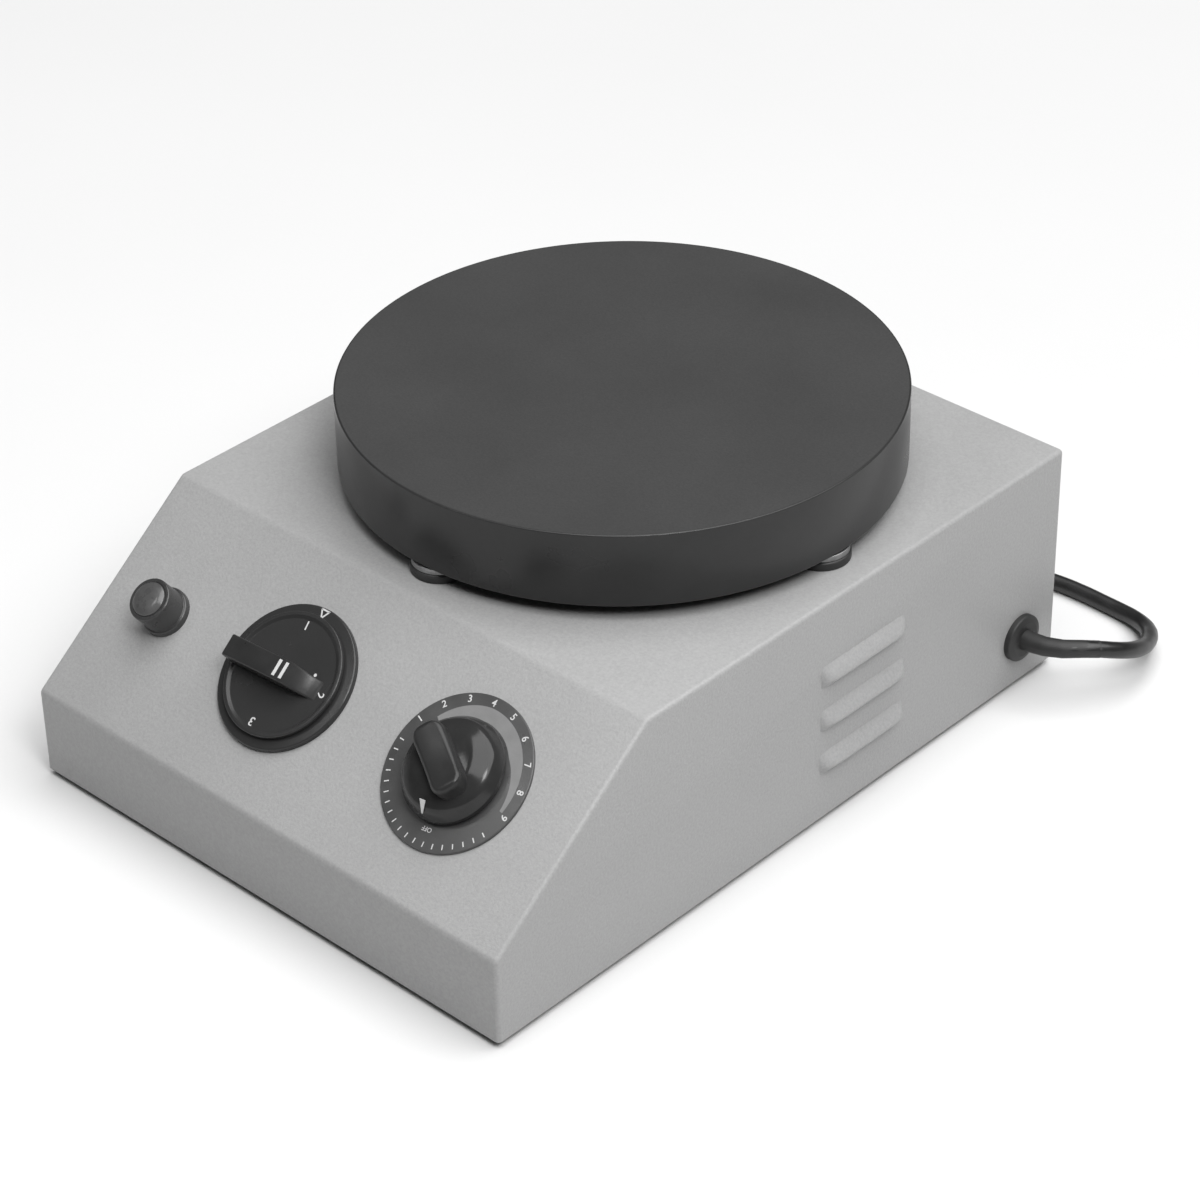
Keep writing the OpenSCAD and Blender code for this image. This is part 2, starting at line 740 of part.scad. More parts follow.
module regulator_body() color([0.3, 0.28, 0.25]) at_speed() difference() {
    union() {
        translate([0, 0, -sheet_t - 18]) cylinder(h = 18, r = 16);
        translate([0, 0, -sheet_t - 1]) cylinder(h = 7.2, r = bushing_r);
        for (x = [-6, 0, 6]) translate([x - 1.5, -24, -sheet_t - 10]) cube([3, 12, 0.8]);
    }
    translate([0, 0, -14]) cylinder(h = 25, r = control_shaft_r + run_gap);
}

module regulator_shaft() color([0.78, 0.78, 0.8]) at_speed()
    translate([0, 0, control_shaft_low]) cylinder(h = 27, r = control_shaft_r);

module regulator_nut() color([0.72, 0.72, 0.72]) at_speed() translate([0, 0, dial_t])
    hex_nut(13, 2.5, bushing_r + thread_gap);

// ---------------------------------------------------------------- mains side

// Repeats children above the three ways of the terminal block, at the height of their screws
module at_block_ways() {
    for (dy = block_ways) translate([block_pos[0], block_pos[1] + dy, cord_z + 1]) children();
}

module terminal_block() color([0.86, 0.85, 0.8]) difference() {
    translate([block_pos[0] - block_size[0] / 2, block_pos[1] - block_size[1] / 2, base_top])
        cube(block_size);
    at_block_ways() cylinder(h = 12, r = 2.4 + run_gap);
    translate([block_pos[0], block_pos[1], base_z]) at_both(block_screw_x)
        cylinder(h = 8, r = m4_r + thread_gap);
}

module block_clamp_screws() color([0.72, 0.62, 0.35]) at_block_ways() cylinder(h = 5, r = 2.4);

// Plain block of the cord clamp, with the cord's half round groove cut from it
module clamp_half(low, high) {
    difference() {
        translate([clamp_x - clamp_l / 2, cord_y - clamp_w / 2, low]) cube([clamp_l, clamp_w, high - low]);
        translate([clamp_x, cord_y, cord_z]) rotate([0, 90, 0]) punch(cord_r);
    }
}

// Repeats children on both sides of the clamped cord
module beside_cord(y, z) {
    for (s = [-1, 1]) translate([clamp_x, cord_y + s * y, z]) children();
}

module cord_clamp_base() color([0.2, 0.2, 0.2]) difference() {
    clamp_half(base_top, cord_z);
    beside_cord(clamp_base_screw_y, base_z) cylinder(h = 8, r = m4_r + thread_gap);
    beside_cord(clamp_bar_screw_y, cord_z - 5) cylinder(h = 6, r = 1.2 + run_gap);
}

module cord_clamp_bar() color([0.2, 0.2, 0.2]) difference() {
    clamp_half(cord_z, cord_z + clamp_bar_h);
    beside_cord(clamp_bar_screw_y, cord_z) punch(1.35, 8);
}

module cord_clamp_screws() color([0.75, 0.75, 0.76]) beside_cord(clamp_bar_screw_y, cord_z + clamp_bar_h)
    mirror([0, 0, 1]) screw_up(1.2, 9.5, 2.4, 1.8);

module earth_screw() color([0.76, 0.68, 0.4]) translate([earth_pos[0], earth_pos[1], base_top])
    mirror([0, 0, 1]) screw_up(m4_r, 5, m4_head_r, m4_head_h);

// Cord between the terminal block and the outer face of the grommet
module cord_inner_end() color([0.12, 0.12, 0.12])
    translate([block_pos[0] + block_size[0] / 2, cord_y, cord_z]) rotate([0, 90, 0])
        cylinder(h = half_w + grommet_t - block_pos[0] - block_size[0] / 2, r = cord_r);

module cord_grommet() color([0.13, 0.13, 0.13])
    translate([half_w, cord_y, cord_z]) rotate([0, 90, 0]) difference() {
        union() {
            cylinder(h = grommet_t, r = grommet_r);
            translate([0, 0, -5]) cylinder(h = 6, r = grommet_barrel_r);
            translate([0, 0, -sheet_t - 3.8]) cylinder(h = 3.8, r = grommet_r - 1);
        }
        punch(cord_r, 10);
    }

module mains_cord() color([0.1, 0.1, 0.1]) swept_tube(mains_route, cord_r);

module cord_coil() color([0.1, 0.1, 0.1]) translate([coil_pos[0], coil_pos[1], coil_low])
    rotate_extrude() translate([coil_mean_r - coil_half_w, 0]) square([2 * coil_half_w, coil_h]);

module plug_cord() color([0.1, 0.1, 0.1]) swept_tube(plug_route, cord_r);

// Flat strap that goes round the section of the coil
module coil_tie() color([0.2, 0.2, 0.2])
    translate([coil_pos[0], coil_pos[1], 0]) rotate([0, 0, 60]) translate([coil_mean_r, 0, 0])
        difference() {
            tie_block(tie_play + tie_t, tie_w, 0, coil_low + coil_h + tie_t);
            tie_block(tie_play, tie_w + 2 * eps, coil_low, coil_low + coil_h);
        }

// Block over the section of the coil, wider than it by a margin on each side
module tie_block(margin, width, low, high) {
    translate([-coil_half_w - margin, -width / 2, low])
        cube([2 * (coil_half_w + margin), width, high - low]);
}

// Round plug, drawn with its cord entry at z = 0 and its pins upwards
module plug_body() color([0.12, 0.12, 0.12])
    translate(plug_pos) rotate([0, -90, 0]) rotate_extrude() polygon([
        [0, 0], [5, 0], [6.5, 14], [10, 14], [plug_r - 1, 28], [plug_r, 30], [plug_r, plug_len - 1],
        [plug_r - 1, plug_len], [0, plug_len]
    ]);

// Earth pin on top, line and neutral pins below it
module plug_pins() color([0.78, 0.66, 0.4])
    translate(plug_pos) rotate([0, -90, 0]) translate([0, 0, plug_len]) {
        for (s = [-1, 1]) translate([pin_at[0], s * pin_at[1], 0]) cylinder(h = pin_l, r = pin_r);
        translate([earth_pin_up, 0, 0]) cylinder(h = earth_pin_l, r = earth_pin_r);
    }

// ---------------------------------------------------------------- assembly

cabinet();
base_plate();
base_tabs();
base_screws();
rubber_feet();
foot_screws();
foot_nuts();
heating_plate();
heating_element();
element_terminals();
terminal_bushes();
insulation_disc();
heat_shield();
shield_screw();
standoff_collars();
standoff_washers();
plate_bolts();
motor_bracket();
bracket_nuts();
motor_bushes();
motor_stator();
motor_windings();
motor_end_bells();
motor_bearings();
motor_bolts();
motor_nuts();
rotor_core();
motor_shaft();
cooling_fan();
magnet_carrier();
stir_magnets();
carrier_screw();
lamp_bezel();
lamp_lens();
lamp_bulb();
lamp_nut();
heat_escutcheon();
heat_knob();
heat_switch_body();
heat_switch_shaft();
heat_switch_screws();
speed_dial_plate();
speed_knob();
regulator_body();
regulator_shaft();
regulator_nut();
terminal_block();
block_clamp_screws();
cord_clamp_base();
cord_clamp_bar();
cord_clamp_screws();
earth_screw();
cord_inner_end();
cord_grommet();
mains_cord();
cord_coil();
plug_cord();
coil_tie();
plug_body();
plug_pins();
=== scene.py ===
"""The looks of the magnetic stirrer: camera, cord, detailed pieces, materials, floor and lights.

Lengths named in the script are in millimetres and are turned into metres by MM.
"""

import json
import math

import bmesh
import bpy
from mathutils import Matrix, Vector


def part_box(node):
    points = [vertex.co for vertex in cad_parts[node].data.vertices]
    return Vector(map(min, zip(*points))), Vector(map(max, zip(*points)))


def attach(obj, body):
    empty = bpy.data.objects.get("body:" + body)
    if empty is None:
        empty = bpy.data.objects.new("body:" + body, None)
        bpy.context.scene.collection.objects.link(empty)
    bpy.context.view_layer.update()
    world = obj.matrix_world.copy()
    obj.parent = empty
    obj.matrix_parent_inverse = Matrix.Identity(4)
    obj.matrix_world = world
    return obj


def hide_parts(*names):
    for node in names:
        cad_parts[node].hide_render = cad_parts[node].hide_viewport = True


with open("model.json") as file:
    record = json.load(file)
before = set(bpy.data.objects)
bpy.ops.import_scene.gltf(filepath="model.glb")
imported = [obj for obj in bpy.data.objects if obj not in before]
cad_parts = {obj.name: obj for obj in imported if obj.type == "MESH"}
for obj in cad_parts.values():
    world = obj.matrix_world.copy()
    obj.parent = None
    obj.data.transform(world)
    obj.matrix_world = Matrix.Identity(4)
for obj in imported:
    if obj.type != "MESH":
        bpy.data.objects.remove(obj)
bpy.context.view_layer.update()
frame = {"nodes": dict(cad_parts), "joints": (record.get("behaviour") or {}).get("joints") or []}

MM = 0.001
BASE = "base"
HEAT = "heat_control"
SPEED = "speed_control"


# ---------------------------------------------------------------- places taken from the frame


def box_mm(node):
    """Lowest and highest corner of a CAD node, in millimetres."""
    low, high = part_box(node)
    return Vector(low) / MM, Vector(high) / MM


def joint_named(name):
    """The frame's joint of that name."""
    return next(joint for joint in frame["joints"] if joint["name"] == name)


# The louvres stand out of both side walls, so the body is narrower than the cabinet's box
louvre_out = 3.0
cabinet_low, cabinet_high = box_mm("cabinet")
half_w = cabinet_high.x - louvre_out
front_y = cabinet_low.y
back_y = cabinet_high.y
skirt_z = cabinet_low.z
top_z = cabinet_high.z

heat_pos = Vector(joint_named("heat_turn")["pos_m"]) / MM
speed_pos = Vector(joint_named("speed_turn")["pos_m"]) / MM
panel_out = Vector(joint_named("heat_turn")["axis"])
panel_slope = math.atan2(-panel_out.y, panel_out.z)
lip_z = heat_pos.z - (heat_pos.y - front_y) * math.tan(panel_slope)
slope_top_y = heat_pos.y + (top_z - heat_pos.z) / math.tan(panel_slope)
panel_y = (front_y + slope_top_y) / 2
panel_z = (lip_z + top_z) / 2
control_up = math.hypot(heat_pos.y - panel_y, heat_pos.z - panel_z)

plate_low, plate_high = box_mm("heating_plate")
plate_r = (plate_high.x - plate_low.x) / 2
plate_y = (plate_high.y + plate_low.y) / 2

lamp_low, lamp_high = box_mm("lamp_bezel")
lamp_x = (lamp_low.x + lamp_high.x) / 2

collar_r = 10.5
collars_low, collars_high = box_mm("standoff_collars")
standoff_r = collars_high.x - collar_r

grommet_low, grommet_high = box_mm("cord_grommet")
cord_y = (grommet_low.y + grommet_high.y) / 2
cord_z = (grommet_low.z + grommet_high.z) / 2
cord_place = Matrix.Translation((half_w, cord_y, cord_z)) @ Matrix.Rotation(math.pi / 2, 4, "Y")


def on_panel(x, up=0.0):
    """Matrix that puts a shape on the sloped panel: its Z points out and its Y runs up the slope."""
    middle = Matrix.Translation((x, panel_y, panel_z)) @ Matrix.Rotation(panel_slope, 4, "X")
    return middle @ Matrix.Translation((0.0, up, 0.0))


def on_plate_axis(z):
    """Matrix that puts a shape on the upright axis of the plate, at a height."""
    return Matrix.Translation((0.0, plate_y, z))


lamp_place = on_panel(lamp_x)
heat_place = on_panel(heat_pos.x, control_up)
speed_place = on_panel(speed_pos.x, control_up)
standoff_spots = [
    Matrix.Translation((standoff_r * math.cos(turn), standoff_r * math.sin(turn), 0.0))
    for turn in (0.0, math.pi / 2, math.pi, math.pi * 1.5)
]


# ---------------------------------------------------------------- camera


def add_camera():
    """Camera at the viewing angle of the reference view: the angles are in degrees."""
    azimuth = math.radians(43.62)
    elevation = math.radians(34.04)
    roll = math.radians(-1.14)
    distance = 1317.1
    aim_right = 14.9
    aim_up = 39.5
    back = Vector((
        math.sin(azimuth) * math.cos(elevation),
        -math.cos(azimuth) * math.cos(elevation),
        math.sin(elevation),
    ))
    level = Vector((math.cos(azimuth), math.sin(azimuth), 0.0))
    upright = back.cross(level)
    right = level * math.cos(roll) + upright * math.sin(roll)
    up = upright * math.cos(roll) - level * math.sin(roll)
    place = aim_right * right + aim_up * up + distance * back + Vector((0.0, 0.0, skirt_z))
    data = bpy.data.cameras.new("view_camera")
    data.lens = 110.07
    data.sensor_width = 36.0
    data.clip_end = 20.0
    camera = bpy.data.objects.new("view_camera", data)
    turn = Matrix((right, up, back)).transposed().to_4x4()
    camera.matrix_world = Matrix.Translation(place * MM) @ turn
    bpy.context.scene.collection.objects.link(camera)
    bpy.context.scene.camera = camera


add_camera()


# ---------------------------------------------------------------- materials


def add_node(tree, kind, values=None, **settings):
    """A shader node with some of its inputs and settings filled in."""
    node = tree.nodes.new(kind)
    for key, value in settings.items():
        setattr(node, key, value)
    for key, value in (values or {}).items():
        node.inputs[key].default_value = value
    return node


def spread_about(tree, noise, middle, half):
    """Output that varies with a noise node, by half to either side of the middle."""
    noise_low = 0.3
    noise_high = 0.7
    node = add_node(tree, "ShaderNodeMapRange", {
        "From Min": noise_low, "From Max": noise_high, "To Min": middle - half, "To Max": middle + half,
    })
    tree.links.new(noise.outputs["Fac"], node.inputs["Value"])
    return node.outputs["Result"]


def surface(
    name, tone, tint=(1.0, 1.0, 1.0), spread=0.08, patch=18.0, grain=0.6, bump=0.03, rough=0.5,
    rough_spread=0.06, speckle=0.03, stretch=(1.0, 1.0, 1.0), metallic=0.0, specular=0.5, coat=0.0,
    coat_rough=0.1,
):
    """A material whose colour, gloss and relief vary: patch, grain and bump are sizes in millimetres."""
    material = bpy.data.materials.new(name)
    material.use_nodes = True
    tree = material.node_tree
    shader = tree.nodes["Principled BSDF"]
    shader.inputs["Metallic"].default_value = metallic
    shader.inputs["Specular IOR Level"].default_value = specular
    shader.inputs["Coat Weight"].default_value = coat
    shader.inputs["Coat Roughness"].default_value = coat_rough
    link = tree.links.new
    place = add_node(tree, "ShaderNodeTexCoord")
    scaled = add_node(tree, "ShaderNodeMapping", {"Scale": stretch})
    link(place.outputs["Object"], scaled.inputs["Vector"])
    patches = add_node(tree, "ShaderNodeTexNoise", {"Scale": 1.0 / (patch * MM), "Detail": 5.0})
    grains = add_node(
        tree, "ShaderNodeTexNoise", {"Scale": 1.0 / (grain * MM), "Detail": 3.0, "Roughness": 0.65}
    )
    for texture in (patches, grains):
        link(scaled.outputs["Vector"], texture.inputs["Vector"])
    both = add_node(tree, "ShaderNodeMath", operation="MULTIPLY")
    link(spread_about(tree, patches, 1.0, spread), both.inputs[0])
    link(spread_about(tree, grains, 1.0, speckle), both.inputs[1])
    colour = add_node(tree, "ShaderNodeVectorMath", operation="SCALE")
    colour.inputs[0].default_value = [tone * part for part in tint]
    link(both.outputs["Value"], colour.inputs["Scale"])
    link(colour.outputs["Vector"], shader.inputs["Base Color"])
    link(spread_about(tree, patches, rough, rough_spread), shader.inputs["Roughness"])
    relief = add_node(tree, "ShaderNodeBump", {"Strength": 1.0, "Distance": bump * MM})
    link(grains.outputs["Fac"], relief.inputs["Height"])
    link(relief.outputs["Normal"], shader.inputs["Normal"])
    return material


def banded(name, tone, tint, band, direction, rough, metallic):
    """A material of fine parallel bands, such as stacked sheets or wound wire: band is in millimetres."""
    # A wave texture of scale 1 has a band about every 0.31 units
    wave_period = 0.31
    material = surface(name, tone, tint, spread=0.12, patch=6.0, rough=rough, metallic=metallic)
    tree = material.node_tree
    shader = tree.nodes["Principled BSDF"]
    place = add_node(tree, "ShaderNodeTexCoord")
    bands = add_node(
        tree, "ShaderNodeTexWave", {"Scale": wave_period / (band * MM), "Distortion": 0.4},
        bands_direction=direction,
    )
    tree.links.new(place.outputs["Object"], bands.inputs["Vector"])
    relief = add_node(tree, "ShaderNodeBump", {"Strength": 0.8, "Distance": 0.25 * band * MM})
    tree.links.new(bands.outputs["Fac"], relief.inputs["Height"])
    tree.links.new(relief.outputs["Normal"], shader.inputs["Normal"])
    return material


WARM = (1.0, 0.93, 0.8)
BRASS = (1.0, 0.75, 0.36)
COPPER = (1.0, 0.45, 0.2)

cabinet_paint = surface(
    "cabinet_paint", 0.30, spread=0.025, patch=60.0, grain=1.0, bump=0.12, rough=0.42,
    speckle=0.08, specular=0.4,
)
plate_top_coat = surface(
    "plate_top_coat", 0.037, spread=0.06, patch=45.0, grain=0.8, bump=0.03, rough=0.62, speckle=0.12,
    specular=0.3,
)
plate_side_enamel = surface(
    "plate_side_enamel", 0.025, spread=0.12, patch=30.0, grain=2.5, bump=0.015, rough=0.30,
    rough_spread=0.04, specular=0.28,
)
dial_coat = surface(
    "dial_coat", 0.060, spread=0.12, patch=9.0, grain=0.4, bump=0.008, rough=0.32, specular=0.5
)
knob_gloss = surface(
    "knob_gloss", 0.024, spread=0.12, patch=8.0, grain=1.2, bump=0.008, rough=0.14,
    rough_spread=0.04, specular=0.28,
)
# The grips' own rougher plastic, toned darker than the heat disc's coat: the darker tone is painted shade
# on the top of the heat knob's bar
grip_coat_painted_shade = surface(
    "grip_coat_painted_shade", 0.023, spread=0.10, patch=8.0, grain=0.5, bump=0.01, rough=0.32,
    rough_spread=0.05, specular=0.3,
)
heat_knob_coat = surface(
    "heat_knob_coat", 0.027, spread=0.05, patch=20.0, grain=0.5, bump=0.01, rough=0.26,
    rough_spread=0.03, specular=0.35,
)
scale_grey = surface(
    "scale_grey", 0.19, spread=0.08, patch=5.0, grain=0.4, bump=0.008, rough=0.4
)
print_white = surface(
    "print_white", 0.54, spread=0.06, patch=2.0, grain=0.3, bump=0.01, rough=0.5
)
lens_plastic = surface(
    "lens_plastic", 0.065, spread=0.12, patch=3.0, grain=0.8, bump=0.02, rough=0.3, coat=0.4
)
bezel_black = surface(
    "bezel_black", 0.035, spread=0.12, patch=5.0, grain=0.5, bump=0.01, rough=0.3, specular=0.5
)
collar_black = surface(
    "collar_black", 0.02, spread=0.15, patch=4.0, grain=0.6, bump=0.03, rough=0.5
)
cord_sheath = surface(
    "cord_sheath", 0.013, spread=0.20, patch=7.0, grain=0.8, bump=0.02, rough=0.36, specular=0.5
)
soft_rubber = surface(
    "soft_rubber", 0.016, spread=0.2, patch=5.0, grain=0.5, bump=0.03, rough=0.55
)
plug_plastic = surface(
    "plug_plastic", 0.018, spread=0.1, patch=8.0, grain=0.5, bump=0.015, rough=0.4
)
zinc_sheet = surface(
    "zinc_sheet", 0.48, spread=0.12, patch=9.0, grain=0.5, bump=0.01, rough=0.38, metallic=1.0,
    stretch=(1.0, 0.15, 1.0),
)
plated_steel = surface(
    "plated_steel", 0.58, spread=0.08, patch=2.5, grain=0.25, bump=0.008, rough=0.3, metallic=1.0
)
washer_steel = surface(
    "washer_steel", 0.30, spread=0.12, patch=2.5, grain=0.25, bump=0.01, rough=0.4, metallic=1.0
)
bright_shaft = surface(
    "bright_shaft", 0.6, spread=0.06, patch=2.0, grain=0.15, bump=0.004, rough=0.2, metallic=1.0,
    stretch=(1.0, 1.0, 6.0),
)
cast_aluminium = surface(
    "cast_aluminium", 0.62, spread=0.08, patch=5.0, grain=0.7, bump=0.03, rough=0.42, metallic=1.0
)
contact_brass = surface(
    "contact_brass", 0.62, BRASS, spread=0.1, patch=3.0, grain=0.3, bump=0.01, rough=0.3, metallic=1.0
)
bronze = surface(
    "bronze", 0.48, (1.0, 0.66, 0.34), spread=0.15, patch=2.0, grain=0.2, bump=0.02, rough=0.5,
    metallic=1.0,
)
ceramic_white = surface(
    "ceramic_white", 0.72, WARM, spread=0.06, patch=4.0, grain=0.4, bump=0.02, rough=0.5
)
fibre_board = surface(
    "fibre_board", 0.52, WARM, spread=0.18, patch=6.0, grain=1.0, bump=0.15, rough=0.9
)
element_sheath = surface(
    "element_sheath", 0.10, (1.0, 0.92, 0.85), spread=0.3, patch=5.0, grain=0.5, bump=0.03,
    rough=0.55, metallic=1.0,
)
pale_plastic = surface(
    "pale_plastic", 0.52, WARM, spread=0.05, patch=8.0, grain=0.5, bump=0.015, rough=0.45
)
black_plastic = surface(
    "black_plastic", 0.022, spread=0.12, patch=6.0, grain=0.5, bump=0.02, rough=0.45
)
magnet_plating = surface(
    "magnet_plating", 0.35, spread=0.1, patch=3.0, grain=0.3, bump=0.01, rough=0.28, metallic=1.0
)
bulb_glass = surface(
    "bulb_glass", 0.6, (1.0, 0.6, 0.35), spread=0.1, patch=2.0, grain=0.5, bump=0.01, rough=0.15
)
lamination = banded("lamination", 0.22, (1.0, 1.0, 1.04), 0.5, "Z", 0.4, 1.0)
copper_wire = banded("copper_wire", 0.5, COPPER, 0.6, "Z", 0.3, 1.0)

CAD_MATERIALS = {
    "base_plate": zinc_sheet, "base_tabs": zinc_sheet, "base_screws": plated_steel,
    "foot_screws": plated_steel, "foot_nuts": plated_steel, "heating_element": element_sheath,
    "element_terminals": contact_brass, "terminal_bushes": ceramic_white,
    "insulation_disc": fibre_board, "heat_shield": cast_aluminium, "shield_screw": plated_steel,
    "plate_bolts": plated_steel, "motor_bracket": zinc_sheet, "bracket_nuts": plated_steel,
    "motor_bushes": soft_rubber, "motor_stator": lamination, "motor_windings": copper_wire,
    "motor_end_bells": cast_aluminium, "motor_bearings": bronze, "motor_bolts": plated_steel,
    "motor_nuts": plated_steel, "rotor_core": lamination, "motor_shaft": bright_shaft,
    "cooling_fan": black_plastic, "magnet_carrier": cast_aluminium, "stir_magnets": magnet_plating,
    "carrier_screw": plated_steel, "lamp_bulb": bulb_glass, "lamp_nut": plated_steel,
    "heat_switch_body": pale_plastic, "heat_switch_shaft": bright_shaft,
    "heat_switch_screws": plated_steel, "regulator_body": black_plastic,
    "regulator_shaft": bright_shaft, "regulator_nut": plated_steel, "terminal_block": pale_plastic,
    "block_clamp_screws": contact_brass, "cord_clamp_base": black_plastic,
    "cord_clamp_bar": black_plastic, "cord_clamp_screws": plated_steel,
    "earth_screw": contact_brass, "cord_inner_end": cord_sheath,
}


def paint_cad_nodes():
    for node, material in CAD_MATERIALS.items():
        mesh = frame["nodes"][node].data
        mesh.materials.clear()
        mesh.materials.append(material)


paint_cad_nodes()


# ---------------------------------------------------------------- mesh helpers


def rounded(corners, steps=5):
    """Points of an outline whose corners are given as (across, along, radius); the two ends stay sharp."""
    points = []
    for i, (x, y, radius) in enumerate(corners):
        here = Vector((x, y))
        if radius == 0.0 or i in (0, len(corners) - 1):
            points.append((x, y))
            continue
        before = (Vector(corners[i - 1][:2]) - here).normalized()
        after = (Vector(corners[i + 1][:2]) - here).normalized()
        half_angle = before.angle(after) / 2
        centre = here + (before + after).normalized() * radius / math.sin(half_angle)
        start = here + before * radius / math.tan(half_angle) - centre
        sweep = start.angle_signed(here + after * radius / math.tan(half_angle) - centre)
        for k in range(steps + 1):
            arm = start.copy()
            arm.rotate(Matrix.Rotation(-sweep * k / steps, 2))
            points.append(tuple(centre + arm))
    return points


def lathe(profile, segments=96):
    """Vertices and faces of a profile of (radius, height) points turned about Z."""
    vertices = []
    faces = []
    rings = []
    for radius, height in profile:
        count = 1 if radius < 1e-6 else segments
        rings.append([len(vertices) + k for k in range(count)])
        for k in range(count):
            angle = 2 * math.pi * k / count
            vertices.append((radius * math.cos(angle), radius * math.sin(angle), height))
    for lower, upper in zip(rings, rings[1:]):
        for k in range(segments):
            corners = (
                lower[k % len(lower)], lower[(k + 1) % len(lower)],
                upper[(k + 1) % len(upper)], upper[k % len(upper)],
            )
            face = tuple(dict.fromkeys(corners))
            if len(face) > 2:
                faces.append(face)
    return vertices, faces


def prism(outline, low, high):
    """Vertices and faces of a flat outline raised from low to high."""
    count = len(outline)
    vertices = [(x, y, z) for z in (low, high) for x, y in outline]
    faces = [tuple(range(count)), tuple(range(count, 2 * count))]
    faces += [(k, (k + 1) % count, count + (k + 1) % count, count + k) for k in range(count)]
    return vertices, faces


def loft(outlines):
    """Vertices and faces of a skin over a row of outlines that have equal numbers of points."""
    count = len(outlines[0])
    last = (len(outlines) - 1) * count
    vertices = [point for outline in outlines for point in outline]
    faces = [tuple(range(count)), tuple(last + k for k in range(count))]
    for start in range(0, last, count):
        for k in range(count):
            n = (k + 1) % count
            faces.append((start + k, start + n, start + count + n, start + count + k))
    return vertices, faces


def ridge(x, half, low, top, soft):
    """Outline across a bar at x: upright sides and rounded upper corners."""
    corners = [(-half, low, 0), (-half, top, soft), (half, top, soft), (half, low, 0)]
    return [(x, y, z) for y, z in rounded(corners)]


def end_fall(beyond, radius):
    """How far a quarter round has fallen at a distance past its start."""
    beyond = min(max(beyond, 0.0), radius)
    return radius - math.sqrt(radius ** 2 - beyond ** 2)


def moved(shape, matrix):
    """A shape after a matrix."""
    vertices, faces = shape
    return [tuple(matrix @ Vector(v)) for v in vertices], faces


def swept(points, radii, sides=24):
    """Vertices and faces of a round tube along points, with a radius at each of them."""
    vertices = []
    faces = []
    side = Vector((0.0, 0.0, 1.0))
    for i, (point, radius) in enumerate(zip(points, radii)):
        ahead = (points[min(i + 1, len(points) - 1)] - points[max(i - 1, 0)]).normalized()
        across = ahead.cross(side).normalized()
        side = across.cross(ahead)
        for k in range(sides):
            angle = 2 * math.pi * k / sides
            arm = math.cos(angle) * across + math.sin(angle) * side
            vertices.append(tuple(point + radius * arm))
    for i in range(len(points) - 1):
        for k in range(sides):
            n = (k + 1) % sides
            here = i * sides
            faces.append((here + k, here + n, here + sides + n, here + sides + k))
    faces.append(tuple(range(sides)))
    faces.append(tuple(len(vertices) - sides + k for k in range(sides)))
    return vertices, faces


print_half_t = 0.03


def dash(across, up):
    """Vertices and faces of a thin printed dash, centred."""
    x = across / 2
    y = up / 2
    return prism([(-x, -y), (x, -y), (x, y), (-x, y)], -print_half_t, print_half_t)


def lettering(text, height):
    """Vertices and faces of a short printed text, centred."""
    capital_share = 0.7
    curve = bpy.data.curves.new("lettering", "FONT")
    curve.body = text
    curve.size = height / capital_share
    curve.extrude = print_half_t
    curve.offset = 0.015 * height
    curve.resolution_u = 4
    curve.align_x = "CENTER"
    curve.align_y = "CENTER"
    holder = bpy.data.objects.new("lettering", curve)
    mesh = bpy.data.meshes.new_from_object(holder)
    shape = [tuple(v.co) for v in mesh.vertices], [tuple(p.vertices) for p in mesh.polygons]
    bpy.data.objects.remove(holder)
    bpy.data.curves.remove(curve)
    bpy.data.meshes.remove(mesh)
    return shape


def around(radius, degrees, height):
    """Matrix that puts a mark on a dial, its top pointing away from the dial's middle."""
    turn = Matrix.Rotation(math.radians(degrees), 4, "Z")
    return turn @ Matrix.Translation((radius, 0.0, height)) @ Matrix.Rotation(-math.pi / 2, 4, "Z")


def make_mesh(name, shapes, place=None, sharp=32.0):
    """Joins shapes in millimetres into one mesh in metres; a shape may carry its material's number."""
    place = place or Matrix.Identity(4)
    builder = bmesh.new()
    for shape in shapes:
        points = [builder.verts.new(tuple((place @ Vector(v)) * MM)) for v in shape[0]]
        for corners in shape[1]:
            face = builder.faces.new([points[k] for k in corners])
            face.material_index = shape[2] if len(shape) > 2 else 0
    bmesh.ops.recalc_face_normals(builder, faces=builder.faces)
    mesh = bpy.data.meshes.new(name)
    builder.to_mesh(mesh)
    builder.free()
    mesh.shade_smooth()
    mesh.set_sharp_from_angle(angle=math.radians(sharp))
    return mesh


def add_piece(name, mesh, materials, body, nodes=()):
    """Adds a piece that rides on a body and stands for some CAD nodes."""
    piece = bpy.data.objects.new(name, mesh)
    bpy.context.scene.collection.objects.link(piece)
    for material in materials:
        mesh.materials.append(material)
    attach(piece, body)
    if nodes:
        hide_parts(*nodes)
    return piece


# ---------------------------------------------------------------- cord

cord_d = 6.2
coil_x = -58.0
coil_y = 197.5
coil_r_outer = 43.5
coil_r_inner = 24.9
layer_turns = 3
points_per_turn = 16

# The stretch from the grommet to the coil, and the one from the coil to the plug
mains_route = [
    (114, 124, 22), (116.5, 124, 22), (121.9, 124.8, 22.2), (127.9, 127.5, 22.5), (132.9, 131.8, 22.6),
    (136.9, 137, 21.6), (139.7, 142.6, 19.6), (141, 148.5, 17.1), (140.9, 154.5, 14.4),
    (139.7, 160.5, 11.8), (137.7, 166.4, 9.7), (134.7, 172, 8), (130.7, 176.9, 6.3), (125.5, 180.7, 4.8),
    (119.4, 183.1, 3.9), (112.9, 184.2, 3.3), (106.3, 184.6, 3.1), (96, 184.8, 3.1), (84, 184, 3.1),
    (68, 180.5, 3.1), (50, 175, 3.1), (30, 168.5, 3.1), (10, 162.5, 3.1), (-10, 158, 3.1),
    (-28, 155.2, 3.3), (-44, 154.1, 3.7), (-58, 154, 3.9),
]
